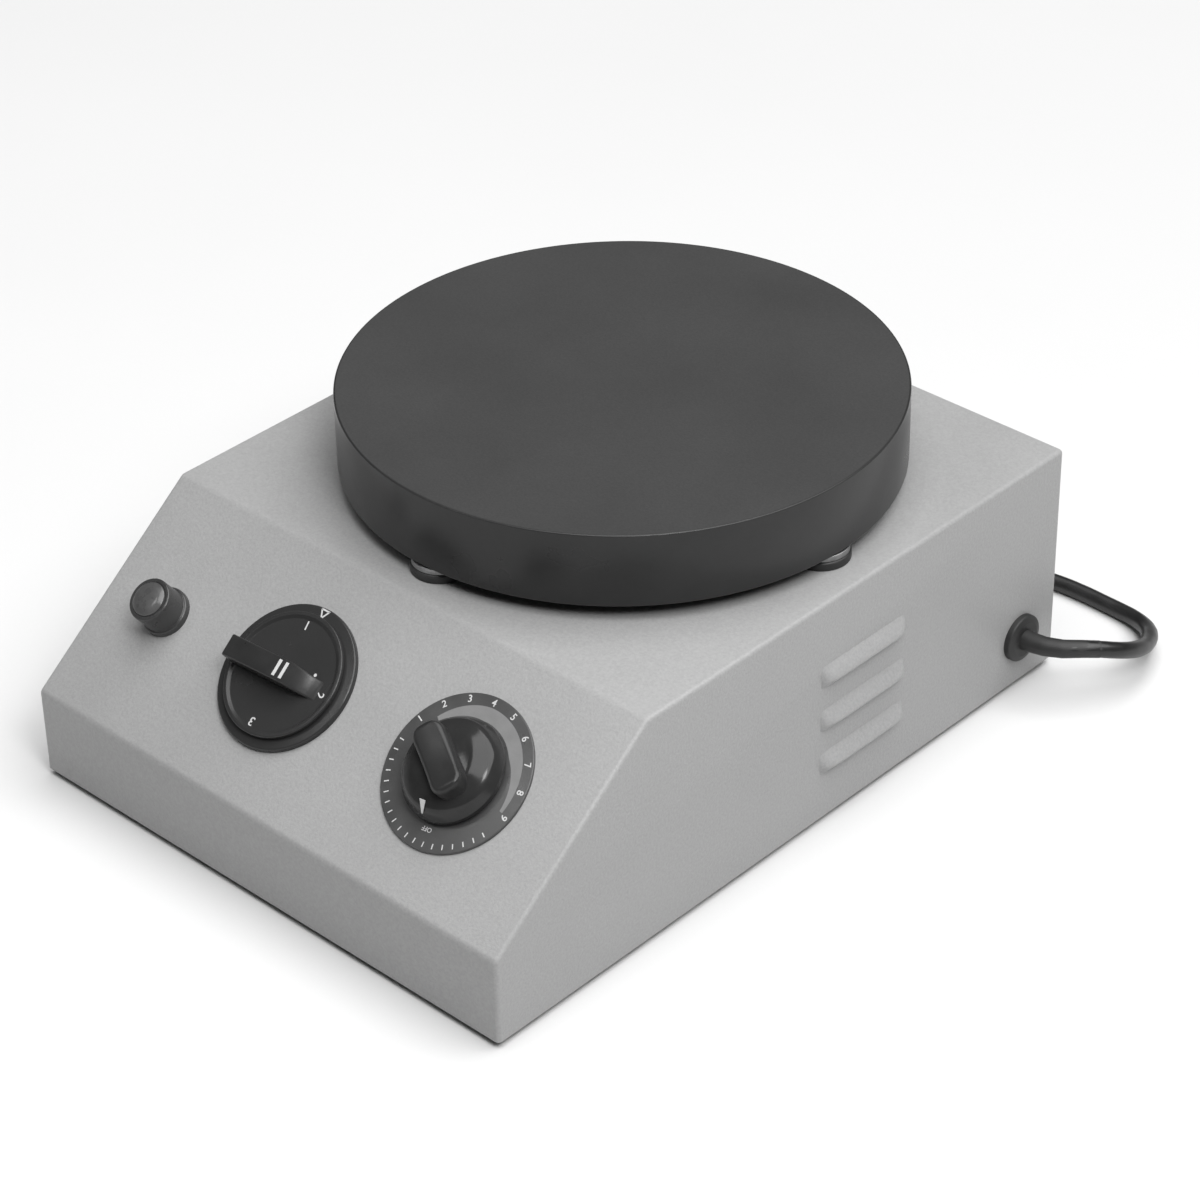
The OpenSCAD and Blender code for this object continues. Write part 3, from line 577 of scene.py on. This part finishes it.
plug_route = [
    (-58, 154, 10.1), (-68, 154.4, 10.5), (-78, 156, 11.8), (-88, 158.8, 14.2), (-97, 161.8, 16.8),
    (-106, 164.2, 19), (-113, 165, 20), (-118, 165, 20),
]


def coil_turns():
    """Two layers of turns: the lower one winds inwards, the upper one back outwards, both clockwise."""
    layer_points = layer_turns * points_per_turn
    low_z = mains_route[-1][2]
    high_z = plug_route[0][2]
    climb = points_per_turn // 3
    points = []
    for k in range(1, 2 * layer_points):
        angle = -math.pi / 2 - 2 * math.pi * k / points_per_turn
        inwards = 1.0 - abs(k / layer_points - 1.0)
        radius = coil_r_outer + (coil_r_inner - coil_r_outer) * inwards
        step = min(max((k - layer_points + climb / 2) / climb, 0.0), 1.0)
        height = low_z + (high_z - low_z) * step
        points.append((coil_x + radius * math.cos(angle), coil_y + radius * math.sin(angle), height))
    return points


def add_cord():
    """Mains lead from the grommet through the coil to the plug, as one curve."""
    route = mains_route + coil_turns() + plug_route
    curve = bpy.data.curves.new("mains_lead", "CURVE")
    curve.dimensions = "3D"
    curve.bevel_depth = cord_d / 2 * MM
    curve.bevel_resolution = 6
    curve.resolution_u = 6
    curve.use_fill_caps = True
    line = curve.splines.new("BEZIER")
    line.bezier_points.add(len(route) - 1)
    for knot, point in zip(line.bezier_points, route):
        knot.co = Vector(point) * MM
        knot.handle_left_type = "AUTO"
        knot.handle_right_type = "AUTO"
    curve.materials.append(cord_sheath)
    cord = bpy.data.objects.new("mains_lead", curve)
    bpy.context.scene.collection.objects.link(cord)
    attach(cord, BASE)
    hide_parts("mains_cord", "cord_coil", "plug_cord")
    return cord


def add_grommet():
    """Flange on the wall, barrel through it, and a sleeve that tapers along the first of the cord."""
    barrel_r = 6.4
    flange_r = 9.0
    half_t = 3.0
    flange = lathe(rounded([
        (0, -half_t, 0), (barrel_r, -half_t, 0.5), (barrel_r, 0, 0), (flange_r, 0, 0),
        (flange_r, 2.2, 0.8), (6.6, half_t, 1.2), (0, half_t, 0)
    ]), 64)
    sleeve_points = 6
    steps = 4
    path = [Vector(point) for point in mains_route[:sleeve_points]]
    fine = []
    for start, end in zip(path, path[1:]):
        fine += [start.lerp(end, k / steps) for k in range(steps)]
    fine.append(path[-1])
    last = len(fine) - 1
    end_r = cord_d / 2 + 0.06
    root_t = 0.85
    radii = [end_r + root_t * (1 - i / last) ** 1.4 for i in range(len(fine))]
    mesh = make_mesh("lead_grommet", [moved(flange, cord_place), swept(fine, radii)])
    return add_piece("lead_grommet", mesh, [soft_rubber], BASE, ["cord_grommet"])


def add_tie():
    """Flat strap round the section of the coil."""
    low = 0.4
    high = 13.7
    corner_r = 4.0
    half_t = 0.4
    half_strap = 3.0
    middle_r = (coil_r_outer + coil_r_inner) / 2
    half = (coil_r_outer - coil_r_inner) / 2 + cord_d / 2 + 0.9
    loop = rounded([
        (0, low, 0), (half, low, corner_r), (half, high, corner_r), (-half, high, corner_r),
        (-half, low, corner_r), (0, low, 0)
    ])[:-1]
    vertices = []
    faces = []
    for x, z in loop:
        out = Vector((x, (z - (low + high) / 2) * 2.0)).normalized() * half_t
        for across, side in ((-half_strap, 1), (half_strap, 1), (half_strap, -1), (-half_strap, -1)):
            vertices.append((middle_r + x + side * out.x, across, z + side * out.y * 0.5))
    for i in range(len(loop)):
        n = (i + 1) % len(loop)
        for k in range(4):
            m = (k + 1) % 4
            faces.append((4 * i + k, 4 * i + m, 4 * n + m, 4 * n + k))
    place = Matrix.Translation((coil_x, coil_y, 0)) @ Matrix.Rotation(math.radians(60), 4, "Z")
    mesh = make_mesh("lead_tie", [(vertices, faces)], place)
    return add_piece("lead_tie", mesh, [soft_rubber], BASE, ["coil_tie"])


def add_plug():
    """Round plug body with a ribbed neck, and its three pins with rounded tips."""
    plug_l = 46.0
    rib_pitch = 3.2
    rib_depth = 0.9
    entry = Matrix.Translation(plug_route[-1]) @ Matrix.Rotation(-math.pi / 2, 4, "Y")
    neck = [(0, 0, 0), (4.4, 0, 0.4)]
    for k in range(4):
        radius = 4.5 + 0.5 * k
        start = rib_pitch * k
        neck += [
            (radius, start + 1.2, 0.2), (radius - rib_depth, start + 1.6, 0.2),
            (radius - rib_depth, start + 3.2, 0.2), (radius + 0.4, start + 3.6, 0.2),
        ]
    body = neck + [
        (6.4, 14, 0), (10, 14.3, 1), (18.8, 27, 2.5), (20, 30, 1.5), (20, plug_l - 0.5, 0),
        (19.5, plug_l, 0), (0, plug_l, 0)
    ]
    mesh = make_mesh("plug_shell", [lathe(rounded(body, 3), 72)], entry)
    shell = add_piece("plug_shell", mesh, [plug_plastic], BASE, ["plug_body"])
    side_pin = (-7.4, 2.54, 14.9)
    earth_pin = (14.83, 3.53, 20.6)
    pins = []
    for across, (up, radius, reach) in ((-9.525, side_pin), (9.525, side_pin), (0.0, earth_pin)):
        pin = lathe(rounded([(0, -1, 0), (radius, -1, 0), (radius, reach, 1.2), (0, reach, 0)]), 32)
        pins.append(moved(pin, Matrix.Translation((up, across, plug_l))))
    mesh = make_mesh("plug_contacts", pins, entry)
    contacts = add_piece("plug_contacts", mesh, [contact_brass], BASE, ["plug_pins"])
    return shell, contacts


mains_lead = add_cord()
grommet = add_grommet()
tie = add_tie()
plug_shell, plug_contacts = add_plug()


# ---------------------------------------------------------------- cabinet

sheet_t = 1.2
hood_t = 0.8
edge_r = 1.6
plate_hole_r = 55.0
bolt_hole_r = 3.25
bush_hole_r = 4.55
bush_flange_r = 6.0
lamp_hole_r = 6.1
switch_hole_r = 4.0
switch_screw_x = 14.0
switch_screw_hole_r = 2.2
regulator_hole_r = 5.1
cord_hole_r = 6.5
louvre_y = 13.0
louvre_l = 44.0
louvre_h = 8.5
louvre_zs = (22.0, 40.0, 58.0)


def shell_sheet():
    """The folded sheet as an open surface with rounded bends."""
    outline = [
        (front_y, skirt_z), (front_y, lip_z), (slope_top_y, top_z), (back_y, top_z), (back_y, skirt_z)
    ]
    builder = bmesh.new()
    left = [builder.verts.new((-half_w * MM, y * MM, z * MM)) for y, z in outline]
    right = [builder.verts.new((half_w * MM, y * MM, z * MM)) for y, z in outline]
    builder.faces.new(left)
    builder.faces.new(list(reversed(right)))
    for i in range(len(outline) - 1):
        builder.faces.new((left[i], right[i], right[i + 1], left[i + 1]))
    bmesh.ops.recalc_face_normals(builder, faces=builder.faces)
    bends = [e for e in builder.edges if len(e.link_faces) == 2]
    bmesh.ops.bevel(
        builder, geom=bends, offset=edge_r * MM, segments=5, profile=0.5, affect="EDGES",
        clamp_overlap=True,
    )
    mesh = bpy.data.meshes.new("cabinet_sheet")
    builder.to_mesh(mesh)
    builder.free()
    return mesh


def louvre_hood(z):
    """One pressed louvre on the right wall: a bulge whose lower edge curls back towards the wall."""
    steps_along = 44
    steps_down = 14
    end_l = 8.0
    crest = 0.7
    curl = 0.75
    bend = 1.2
    root = 0.3
    root_sunk = 0.1
    reach = louvre_out - 0.02
    vertices = []
    faces = []
    for i in range(steps_along + 1):
        y = louvre_l * i / steps_along
        near_end = min(y, louvre_l - y, end_l) / end_l
        swell = math.sqrt(1.0 - (1.0 - near_end) ** 2)
        for j in range(steps_down + 1):
            drop = j / steps_down
            if drop < crest:
                rise = math.sin(math.pi / 2 * drop / crest) ** bend
            else:
                rise = 1.0 - curl * ((drop - crest) / (1.0 - crest)) ** bend
            out = reach * swell * rise - root_sunk * (1.0 - min(drop / root, 1.0))
            vertices.append((half_w + out, louvre_y + y, z + louvre_h * (1.0 - drop)))
    row = steps_down + 1
    for i in range(steps_along):
        for j in range(steps_down):
            corner = i * row + j
            faces.append((corner, corner + 1, corner + row + 1, corner + row))
    return vertices, faces


def mirrored(shape):
    """A shape mirrored to the left side."""
    return [(-x, y, z) for x, y, z in shape[0]], shape[1]


def drill(radius, place, segments=24):
    """Round tool along the Z of a place, to both sides of it."""
    reach = 5.0
    return moved(lathe([(0, -reach), (radius, -reach), (radius, reach), (0, reach)], segments), place)


def louvre_slot(side, z):
    """Tool that cuts the slot behind one louvre, in the wall on one side."""
    near = louvre_y + 2.5
    far = louvre_y + louvre_l - 2.5
    low = z + 0.2
    high = z + 5.5
    reach = 3.0
    stand = Matrix(((0, 0, 1, 0), (1, 0, 0, 0), (0, 1, 0, 0), (0, 0, 0, 1)))
    slot = [(near, low), (far, low), (far, high), (near, high)]
    return moved(prism(slot, side * half_w - reach, side * half_w + reach), stand)


def cutter_shapes():
    """Tools that cut the openings of the cabinet: the round holes and the louvre slots."""
    plate_axis = on_plate_axis(top_z)
    tools = [drill(plate_hole_r, plate_axis, 96)]
    tools += [drill(bolt_hole_r, plate_axis @ spot) for spot in standoff_spots]
    bushes_high = box_mm("terminal_bushes")[1]
    bush_x = bushes_high.x - bush_flange_r
    bush_y = bushes_high.y - bush_flange_r
    for x in (-bush_x, bush_x):
        tools.append(drill(bush_hole_r, Matrix.Translation((x, bush_y, top_z))))
    for place, across, radius in (
        (lamp_place, 0.0, lamp_hole_r),
        (heat_place, 0.0, switch_hole_r),
        (heat_place, -switch_screw_x, switch_screw_hole_r),
        (heat_place, switch_screw_x, switch_screw_hole_r),
        (speed_place, 0.0, regulator_hole_r),
    ):
        tools.append(drill(radius, place @ Matrix.Translation((across, 0.0, 0.0))))
    tools.append(drill(cord_hole_r, cord_place, 32))
    for side in (-1, 1):
        tools += [louvre_slot(side, z) for z in louvre_zs]
    return tools


def with_modifiers(mesh, setups):
    """A mesh after some modifiers, each given as its kind and its settings."""
    holder = bpy.data.objects.new("holder", mesh)
    bpy.context.scene.collection.objects.link(holder)
    for kind, settings in setups:
        modifier = holder.modifiers.new(kind, kind)
        for key, value in settings.items():
            setattr(modifier, key, value)
    depsgraph = bpy.context.evaluated_depsgraph_get()
    result = bpy.data.meshes.new_from_object(holder.evaluated_get(depsgraph))
    bpy.data.objects.remove(holder)
    return result


def add_cabinet():
    """Folded shell with its openings cut, and the louvre hoods on both side walls."""
    tools_mesh = make_mesh("cabinet_tools", cutter_shapes())
    tools = bpy.data.objects.new("cabinet_tools", tools_mesh)
    bpy.context.scene.collection.objects.link(tools)
    shell = with_modifiers(shell_sheet(), [
        ("SOLIDIFY", {"thickness": sheet_t * MM, "offset": -1.0}),
        ("BOOLEAN", {"operation": "DIFFERENCE", "object": tools, "solver": "EXACT"}),
    ])
    bpy.data.objects.remove(tools)
    hoods = []
    for z in louvre_zs:
        hood = louvre_hood(z)
        hoods += [hood, mirrored(hood)]
    hood_mesh = with_modifiers(make_mesh("louvre_hoods", hoods), [
        ("SOLIDIFY", {"thickness": hood_t * MM, "offset": -1.0}),
    ])
    builder = bmesh.new()
    builder.from_mesh(shell)
    builder.from_mesh(hood_mesh)
    mesh = bpy.data.meshes.new("cabinet_shell")
    builder.to_mesh(mesh)
    builder.free()
    mesh.shade_smooth()
    mesh.set_sharp_from_angle(angle=math.radians(30))
    mesh.materials.clear()
    add_piece("cabinet_shell", mesh, [cabinet_paint], BASE, ["cabinet"])


def add_feet():
    """Four round rubber feet, each with a recess for its screw."""
    foot_r = 9.0
    foot = lathe(rounded([
        (2.1, 3.5, 0), (4.6, 3.5, 0), (4.6, 0, 0.3), (8.2, 0, 0.8), (foot_r, 7, 0.6), (2.1, 7, 0),
        (2.1, 3.5, 0)
    ]), 48)
    low, high = box_mm("rubber_feet")
    feet = [
        moved(foot, Matrix.Translation((x, y, low.z)))
        for x in (low.x + foot_r, high.x - foot_r)
        for y in (low.y + foot_r, high.y - foot_r)
    ]
    mesh = make_mesh("bench_feet", feet)
    add_piece("bench_feet", mesh, [soft_rubber], BASE, ["rubber_feet"])


add_cabinet()
add_feet()


# ---------------------------------------------------------------- heated top


def add_plate():
    """Cast plate: matte flat top, glossy side, hollow underside with bosses for the bolts."""
    height = plate_high.z - plate_low.z
    edge = 0.6
    rim_t = 6.0
    skin_t = 8.0
    boss_r = 8.0
    bolt_bore_r = 3.05
    face_edge = plate_r - edge - 0.1
    top = lathe([(0.0, height), (face_edge * 0.5, height), (face_edge, height)], 192)
    side = rounded([
        (face_edge, height, 0), (plate_r, height, edge), (plate_r, 0, 1.0), (plate_r - rim_t, 0, 0.8),
        (plate_r - rim_t, height - skin_t, 2.0), (0, height - skin_t, 0)
    ])
    boss = lathe(rounded([
        (bolt_bore_r, 14, 0), (bolt_bore_r, 0, 0), (boss_r, 0, 0.5), (boss_r, height - skin_t + 0.5, 0)
    ]), 40)
    shapes = [(*top, 0), (*lathe(side, 192), 1)]
    shapes += [(*moved(boss, spot), 1) for spot in standoff_spots]
    mesh = make_mesh("hot_plate", shapes, on_plate_axis(plate_low.z))
    coats = [plate_top_coat, plate_side_enamel]
    add_piece("hot_plate", mesh, coats, BASE, ["heating_plate"])


def add_standoffs():
    """Dark collars, each with a light ring that fills the gap up to the plate."""
    height = collars_high.z - collars_low.z
    washer_r = box_mm("standoff_washers")[1].x - standoff_r
    bore_r = 3.1
    neck_r = 6.0
    washer_bore_r = neck_r + 0.02
    flange_h = 3.3
    collar = lathe(rounded([
        (bore_r, 0, 0), (collar_r, 0, 0.4), (collar_r, flange_h, 1.0), (neck_r, flange_h, 0.3),
        (neck_r, height, 0), (bore_r, height, 0)
    ]), 56)
    washer = lathe(rounded([
        (washer_bore_r, flange_h, 0), (washer_r, flange_h, 0.3), (washer_r, height, 0.3),
        (washer_bore_r, height, 0), (washer_bore_r, flange_h, 0)
    ]), 56)
    place = on_plate_axis(top_z)
    mesh = make_mesh("plate_collars", [moved(collar, spot) for spot in standoff_spots], place)
    add_piece("plate_collars", mesh, [collar_black], BASE, ["standoff_collars"])
    mesh = make_mesh("plate_washers", [moved(washer, spot) for spot in standoff_spots], place)
    add_piece("plate_washers", mesh, [washer_steel], BASE, ["standoff_washers"])


add_plate()
add_standoffs()


# ---------------------------------------------------------------- lamp


def add_lamp():
    """Threaded holder with a flange and a tube, and the domed lens inside the tube."""
    thread_r = 6.0
    thread_l = 22.0
    flange_r = 9.0
    flange_h = 2.5
    tube_r = 8.0
    tube_h = 12.0
    lip_r = 6.4
    lip_h = 11.3
    bore_r = 7.05
    seat_h = 3.0
    bezel = lathe(rounded([
        (0, -thread_l, 0), (thread_r, -thread_l, 0.5), (thread_r, 0, 0), (flange_r, 0, 0),
        (flange_r, flange_h, 0.8), (tube_r, flange_h, 0.3), (tube_r, tube_h, 0.6), (lip_r, tube_h, 0.2),
        (lip_r, lip_h, 0), (bore_r, lip_h, 0), (bore_r, seat_h, 0), (3.1, seat_h, 0)
    ]), 72)
    mesh = make_mesh("lamp_holder", [bezel], lamp_place)
    add_piece("lamp_holder", mesh, [bezel_black], BASE, ["lamp_bezel"])
    lens_r = bore_r - 0.05
    shoulder_h = lip_h - 0.1
    dome_r = lip_r - 0.1
    hollow_r = 4.5
    hollow_h = 8.0
    lens = lathe(rounded([
        (0, hollow_h, 0), (hollow_r, hollow_h, 0), (hollow_r, seat_h, 0), (lens_r, seat_h, 0),
        (lens_r, shoulder_h, 0), (dome_r, shoulder_h, 0), (dome_r, 12.4, 0.5), (4.2, 13.2, 6),
        (0, 13.6, 0)
    ]), 72)
    mesh = make_mesh("lamp_window", [lens], lamp_place)
    add_piece("lamp_window", mesh, [lens_plastic], BASE, ["lamp_lens"])


add_lamp()


# ---------------------------------------------------------------- heat control

ring_top_z = 2.0
heat_face_z = 3.8
bar_top_z = 12.0
print_gap = 0.02
bar_turn = Matrix.Rotation(math.radians(2.5), 4, "Z")


def triangle_outline(size):
    """Point-down triangle as an open frame, drawn as three bars."""
    half_line = 0.3
    upper = size * 0.4
    corners = [Vector((-size / 2, upper)), Vector((size / 2, upper)), Vector((0.0, -size / 2))]
    bars = []
    for start, end in zip(corners, corners[1:] + corners[:1]):
        ahead = (end - start).normalized() * half_line
        side = Vector((-ahead.y, ahead.x))
        outline = [start - ahead - side, end + ahead - side, end + ahead + side, start - ahead + side]
        bars.append(prism([tuple(point) for point in outline], -print_half_t, print_half_t))
    return bars


def add_heat_ring():
    """Fixed ring round the heat knob, with the index mark on it."""
    low, high = box_mm("heat_escutcheon")
    radius = (high.x - low.x) / 2
    bore_r = 4.0
    ring = lathe(rounded([
        (bore_r, 0, 0), (radius, 0, 0), (radius, ring_top_z, 0.8), (bore_r, ring_top_z, 0), (bore_r, 0, 0)
    ]), 128)
    mesh = make_mesh("heat_ring", [ring], heat_place)
    add_piece("heat_ring", mesh, [heat_knob_coat], BASE, ["heat_escutcheon"])
    index_size = 3.4
    index_spot = Matrix.Translation((-0.6, 24.6, ring_top_z + print_gap))
    index = [moved(bar, index_spot) for bar in triangle_outline(index_size)]
    mesh = make_mesh("heat_index", index, heat_place)
    add_piece("heat_index", mesh, [print_white], BASE)


def finger_bar():
    """Bar along X: tall and flat at its left, then a hollow ramp that narrows and fades into the disc."""
    left = -21.0
    ramp_start = 7.5
    ramp_end = 17.0
    half = 4.0
    narrowing = 0.5
    low = 3.2
    edge = 0.9
    soft = 0.7
    end_steps = 4
    ramp_steps = 12
    ramp_low = heat_face_z + 0.05
    outlines = []
    for k in range(end_steps + 1):
        x = left + edge * (1.0 - math.cos(math.pi / 2 * k / end_steps))
        outlines.append(ridge(x, half, low, bar_top_z - end_fall(left + edge - x, edge), soft))
    for k in range(ramp_steps + 1):
        t = k / ramp_steps
        x = ramp_start + (ramp_end - ramp_start) * t
        top = ramp_low + (bar_top_z - ramp_low) * (1.0 - t) ** 1.8
        outlines.append(ridge(x, half - narrowing * t, low, top, min(soft, (top - low) / 2)))
    return moved(loft(outlines), bar_turn)


def heat_marks():
    """Digits and OFF round the knob's face, a dot beside the bar, and two strokes across its top."""
    digit_h = 3.2
    dot_r = 0.6
    stroke_w = 1.3
    stroke_l = 6.0
    marks = []
    for text, radius, degrees in (("1", 18.2, 98), ("2", 17.9, 0), ("3", 18.7, -91), ("OFF", 18.3, 180)):
        marks.append(moved(lettering(text, digit_h), around(radius, degrees, heat_face_z)))
    dot = lathe([(0, -print_half_t), (dot_r, -print_half_t), (dot_r, print_half_t), (0, print_half_t)], 16)
    marks.append(moved(dot, Matrix.Translation((11.9, 5.0, heat_face_z))))
    for x in (2.9, 6.0):
        spot = Matrix.Translation((x, 0.2, bar_top_z + print_gap / 2))
        marks.append(moved(dash(stroke_w, stroke_l), bar_turn @ spot))
    return marks


def add_heat_knob():
    """Dished disc with a raised rim, and a finger bar that ramps down to it at one end."""
    knob_r = 23.0
    skirt_z = 2.4
    rim_z = 4.4
    disc = lathe(rounded([
        (0, skirt_z, 0), (knob_r - 0.6, skirt_z, 0), (knob_r, skirt_z + 0.6, 0.3), (knob_r, rim_z, 0.5),
        (21.6, rim_z, 0.4), (20.4, heat_face_z, 0.8), (0, heat_face_z, 0)
    ]), 128)
    # The bar takes the darker grip coat, which paints shade on its top
    mesh = make_mesh("heat_dial", [disc, (*finger_bar(), 1)], heat_place)
    add_piece("heat_dial", mesh, [heat_knob_coat, grip_coat_painted_shade], HEAT, ["heat_knob"])
    mesh = make_mesh("heat_marks", heat_marks(), heat_place)
    add_piece("heat_marks", mesh, [print_white], HEAT)


add_heat_ring()
add_heat_knob()


# ---------------------------------------------------------------- speed control


dial_top_z = 1.0
scale_r = 25.7
off_turn = -84


def scale_band(start, end, steps=40):
    """Flat band between two angles in degrees: it widens inwards first and narrows from outside last."""
    inner_r = 22.8
    widening = 3.8
    outer_r = 24.0
    narrowing = 1.5
    narrow_from = 95.0
    change_over = 50.0
    inner = []
    outer = []
    for k in range(steps + 1):
        degrees = start + (end - start) * k / steps
        angle = math.radians(degrees)
        r_in = inner_r - widening * min(1.0, (degrees - start) / change_over)
        r_out = outer_r - narrowing * max(0.0, (degrees - narrow_from) / change_over)
        inner.append((r_in * math.cos(angle), r_in * math.sin(angle)))
        outer.append((r_out * math.cos(angle), r_out * math.sin(angle)))
    return prism(inner + outer[::-1], -print_half_t, print_half_t)


def speed_marks():
    """Digits 1 to 9 clockwise round the dial, OFF inside them, and ticks round the rest."""
    digit_h = 2.5
    first_digit = 158.0
    digit_step = 21.2
    off_h = 1.6
    off_r = 20.6
    first_tick = 178.0
    tick_step = 8.4
    tick_w = 0.4
    tick_l = 1.8
    print_z = dial_top_z + print_gap
    marks = []
    for k in range(9):
        spot = around(scale_r, first_digit - digit_step * k, print_z)
        marks.append(moved(lettering(str(k + 1), digit_h), spot))
    marks.append(moved(lettering("OFF", off_h), around(off_r, off_turn, print_z)))
    for k in range(19):
        spot = around(scale_r, first_tick + tick_step * k, print_z)
        marks.append(moved(dash(tick_w, tick_l), spot))
    return marks


def add_speed_dial():
    """Fixed dial plate with its grey band and its printed scale."""
    low, high = box_mm("speed_dial_plate")
    radius = (high.x - low.x) / 2
    bore_r = 5.1
    disc = lathe(rounded([
        (bore_r, 0, 0), (radius, 0, 0), (radius, dial_top_z, 0.35), (bore_r, dial_top_z, 0), (bore_r, 0, 0)
    ]), 128)
    mesh = make_mesh("speed_dial", [disc], speed_place)
    add_piece("speed_dial", mesh, [dial_coat], BASE, ["speed_dial_plate"])
    band = moved(scale_band(-10.0, 145.0), Matrix.Translation((0.0, 0.0, dial_top_z + print_gap)))
    mesh = make_mesh("speed_scale", [band], speed_place)
    add_piece("speed_scale", mesh, [scale_grey], BASE)
    mesh = make_mesh("speed_marks", speed_marks(), speed_place)
    add_piece("speed_marks", mesh, [print_white], BASE)


def speed_grip():
    """Grip bar along X with rounded ends and soft edges; its top dips in the middle."""
    half_l = 13.6
    half_across = 5.75
    end_r = 4.8
    soft = 2.0
    low = 3.0
    dip_z = 15.2
    end_rise = 1.3
    turn = -33
    steps = 40
    outlines = []
    for k in range(steps + 1):
        x = -half_l * math.cos(math.pi * k / steps)
        half = half_across - end_fall(abs(x) - (half_l - end_r), end_r)
        top = dip_z + end_rise * (x / half_l) ** 2 - end_fall(abs(x) - (half_l - soft), soft)
        outlines.append(ridge(x, half, low, top, min(soft, 0.9 * half)))
    return moved(loft(outlines), Matrix.Rotation(math.radians(turn), 4, "Z"))


def add_speed_knob():
    """Glossy domed knob with a rounded grip bar across it and a pointer on its dome."""
    skirt_r = 18.6
    skirt_z = 2.0
    bore_r = 10.0
    dome_z = 12.0
    dome = lathe(rounded([
        (bore_r, skirt_z, 0), (skirt_r, skirt_z, 0.4), (skirt_r, 4, 0.8), (16.4, 8.2, 4.5),
        (11.0, 10.8, 9.0), (0, dome_z, 0)
    ], 8), 128)
    mesh = make_mesh("speed_dome", [dome, (*speed_grip(), 1)], speed_place, 40.0)
    add_piece("speed_dome", mesh, [knob_gloss, grip_coat_painted_shade], SPEED, ["speed_knob"])
    arrow = prism([(-1.2, -2.5), (1.2, -2.5), (0.25, 2.5), (-0.25, 2.5)], -0.1, 0.1)
    arrow_r = 15.6
    arrow_z = 9.1
    lean = Matrix.Rotation(math.radians(-42), 4, "X")
    spot = around(arrow_r, off_turn, arrow_z) @ lean
    mesh = make_mesh("speed_pointer", [moved(arrow, spot)], speed_place)
    add_piece("speed_pointer", mesh, [print_white], SPEED)


add_speed_dial()
add_speed_knob()


# ---------------------------------------------------------------- floor and lights


def add_floor():
    """Plain pale floor, 12 m on a side."""
    mesh = bpy.data.meshes.new("floor")
    reach = 6.0
    mesh.from_pydata(
        [(-reach, -reach, 0.0), (reach, -reach, 0.0), (reach, reach, 0.0), (-reach, reach, 0.0)],
        [], [(0, 1, 2, 3)],
    )
    floor = bpy.data.objects.new("floor", mesh)
    bpy.context.scene.collection.objects.link(floor)
    mesh.materials.append(surface(
        "floor_card", 0.63, spread=0.01, patch=300.0, grain=1.5, bump=0.01, rough=0.9, specular=0.1,
        speckle=0.005,
    ))


def add_area_light(name, place, aim, size, power):
    """Square lamp at a place in metres, turned towards its aim."""
    data = bpy.data.lights.new(name, "AREA")
    data.shape = "SQUARE"
    data.size = size
    data.energy = power
    lamp = bpy.data.objects.new(name, data)
    lamp.location = place
    lamp.rotation_euler = (Vector(aim) - Vector(place)).to_track_quat("-Z", "Y").to_euler()
    bpy.context.scene.collection.objects.link(lamp)


def add_lights():
    """Soft white surroundings, a very large lamp above and two small ones for a sheen on the edges."""
    world = bpy.data.worlds.new("studio")
    world.use_nodes = True
    background = world.node_tree.nodes["Background"]
    background.inputs["Color"].default_value = (1.0, 1.0, 1.0, 1.0)
    background.inputs["Strength"].default_value = 0.06
    bpy.context.scene.world = world
    middle = (0.0, 0.0, 0.06)
    add_area_light("skylight", (1.86, 0.66, 6.6), middle, size=8.7, power=1000.0)
    add_area_light("accent_right", (0.72, -0.39, 1.02), middle, size=0.30, power=4.5)
    add_area_light("accent_left", (-0.42, -0.66, 0.91), middle, size=0.22, power=0.8)


add_floor()
add_lights()
bpy.context.scene.view_settings.view_transform = "Standard"
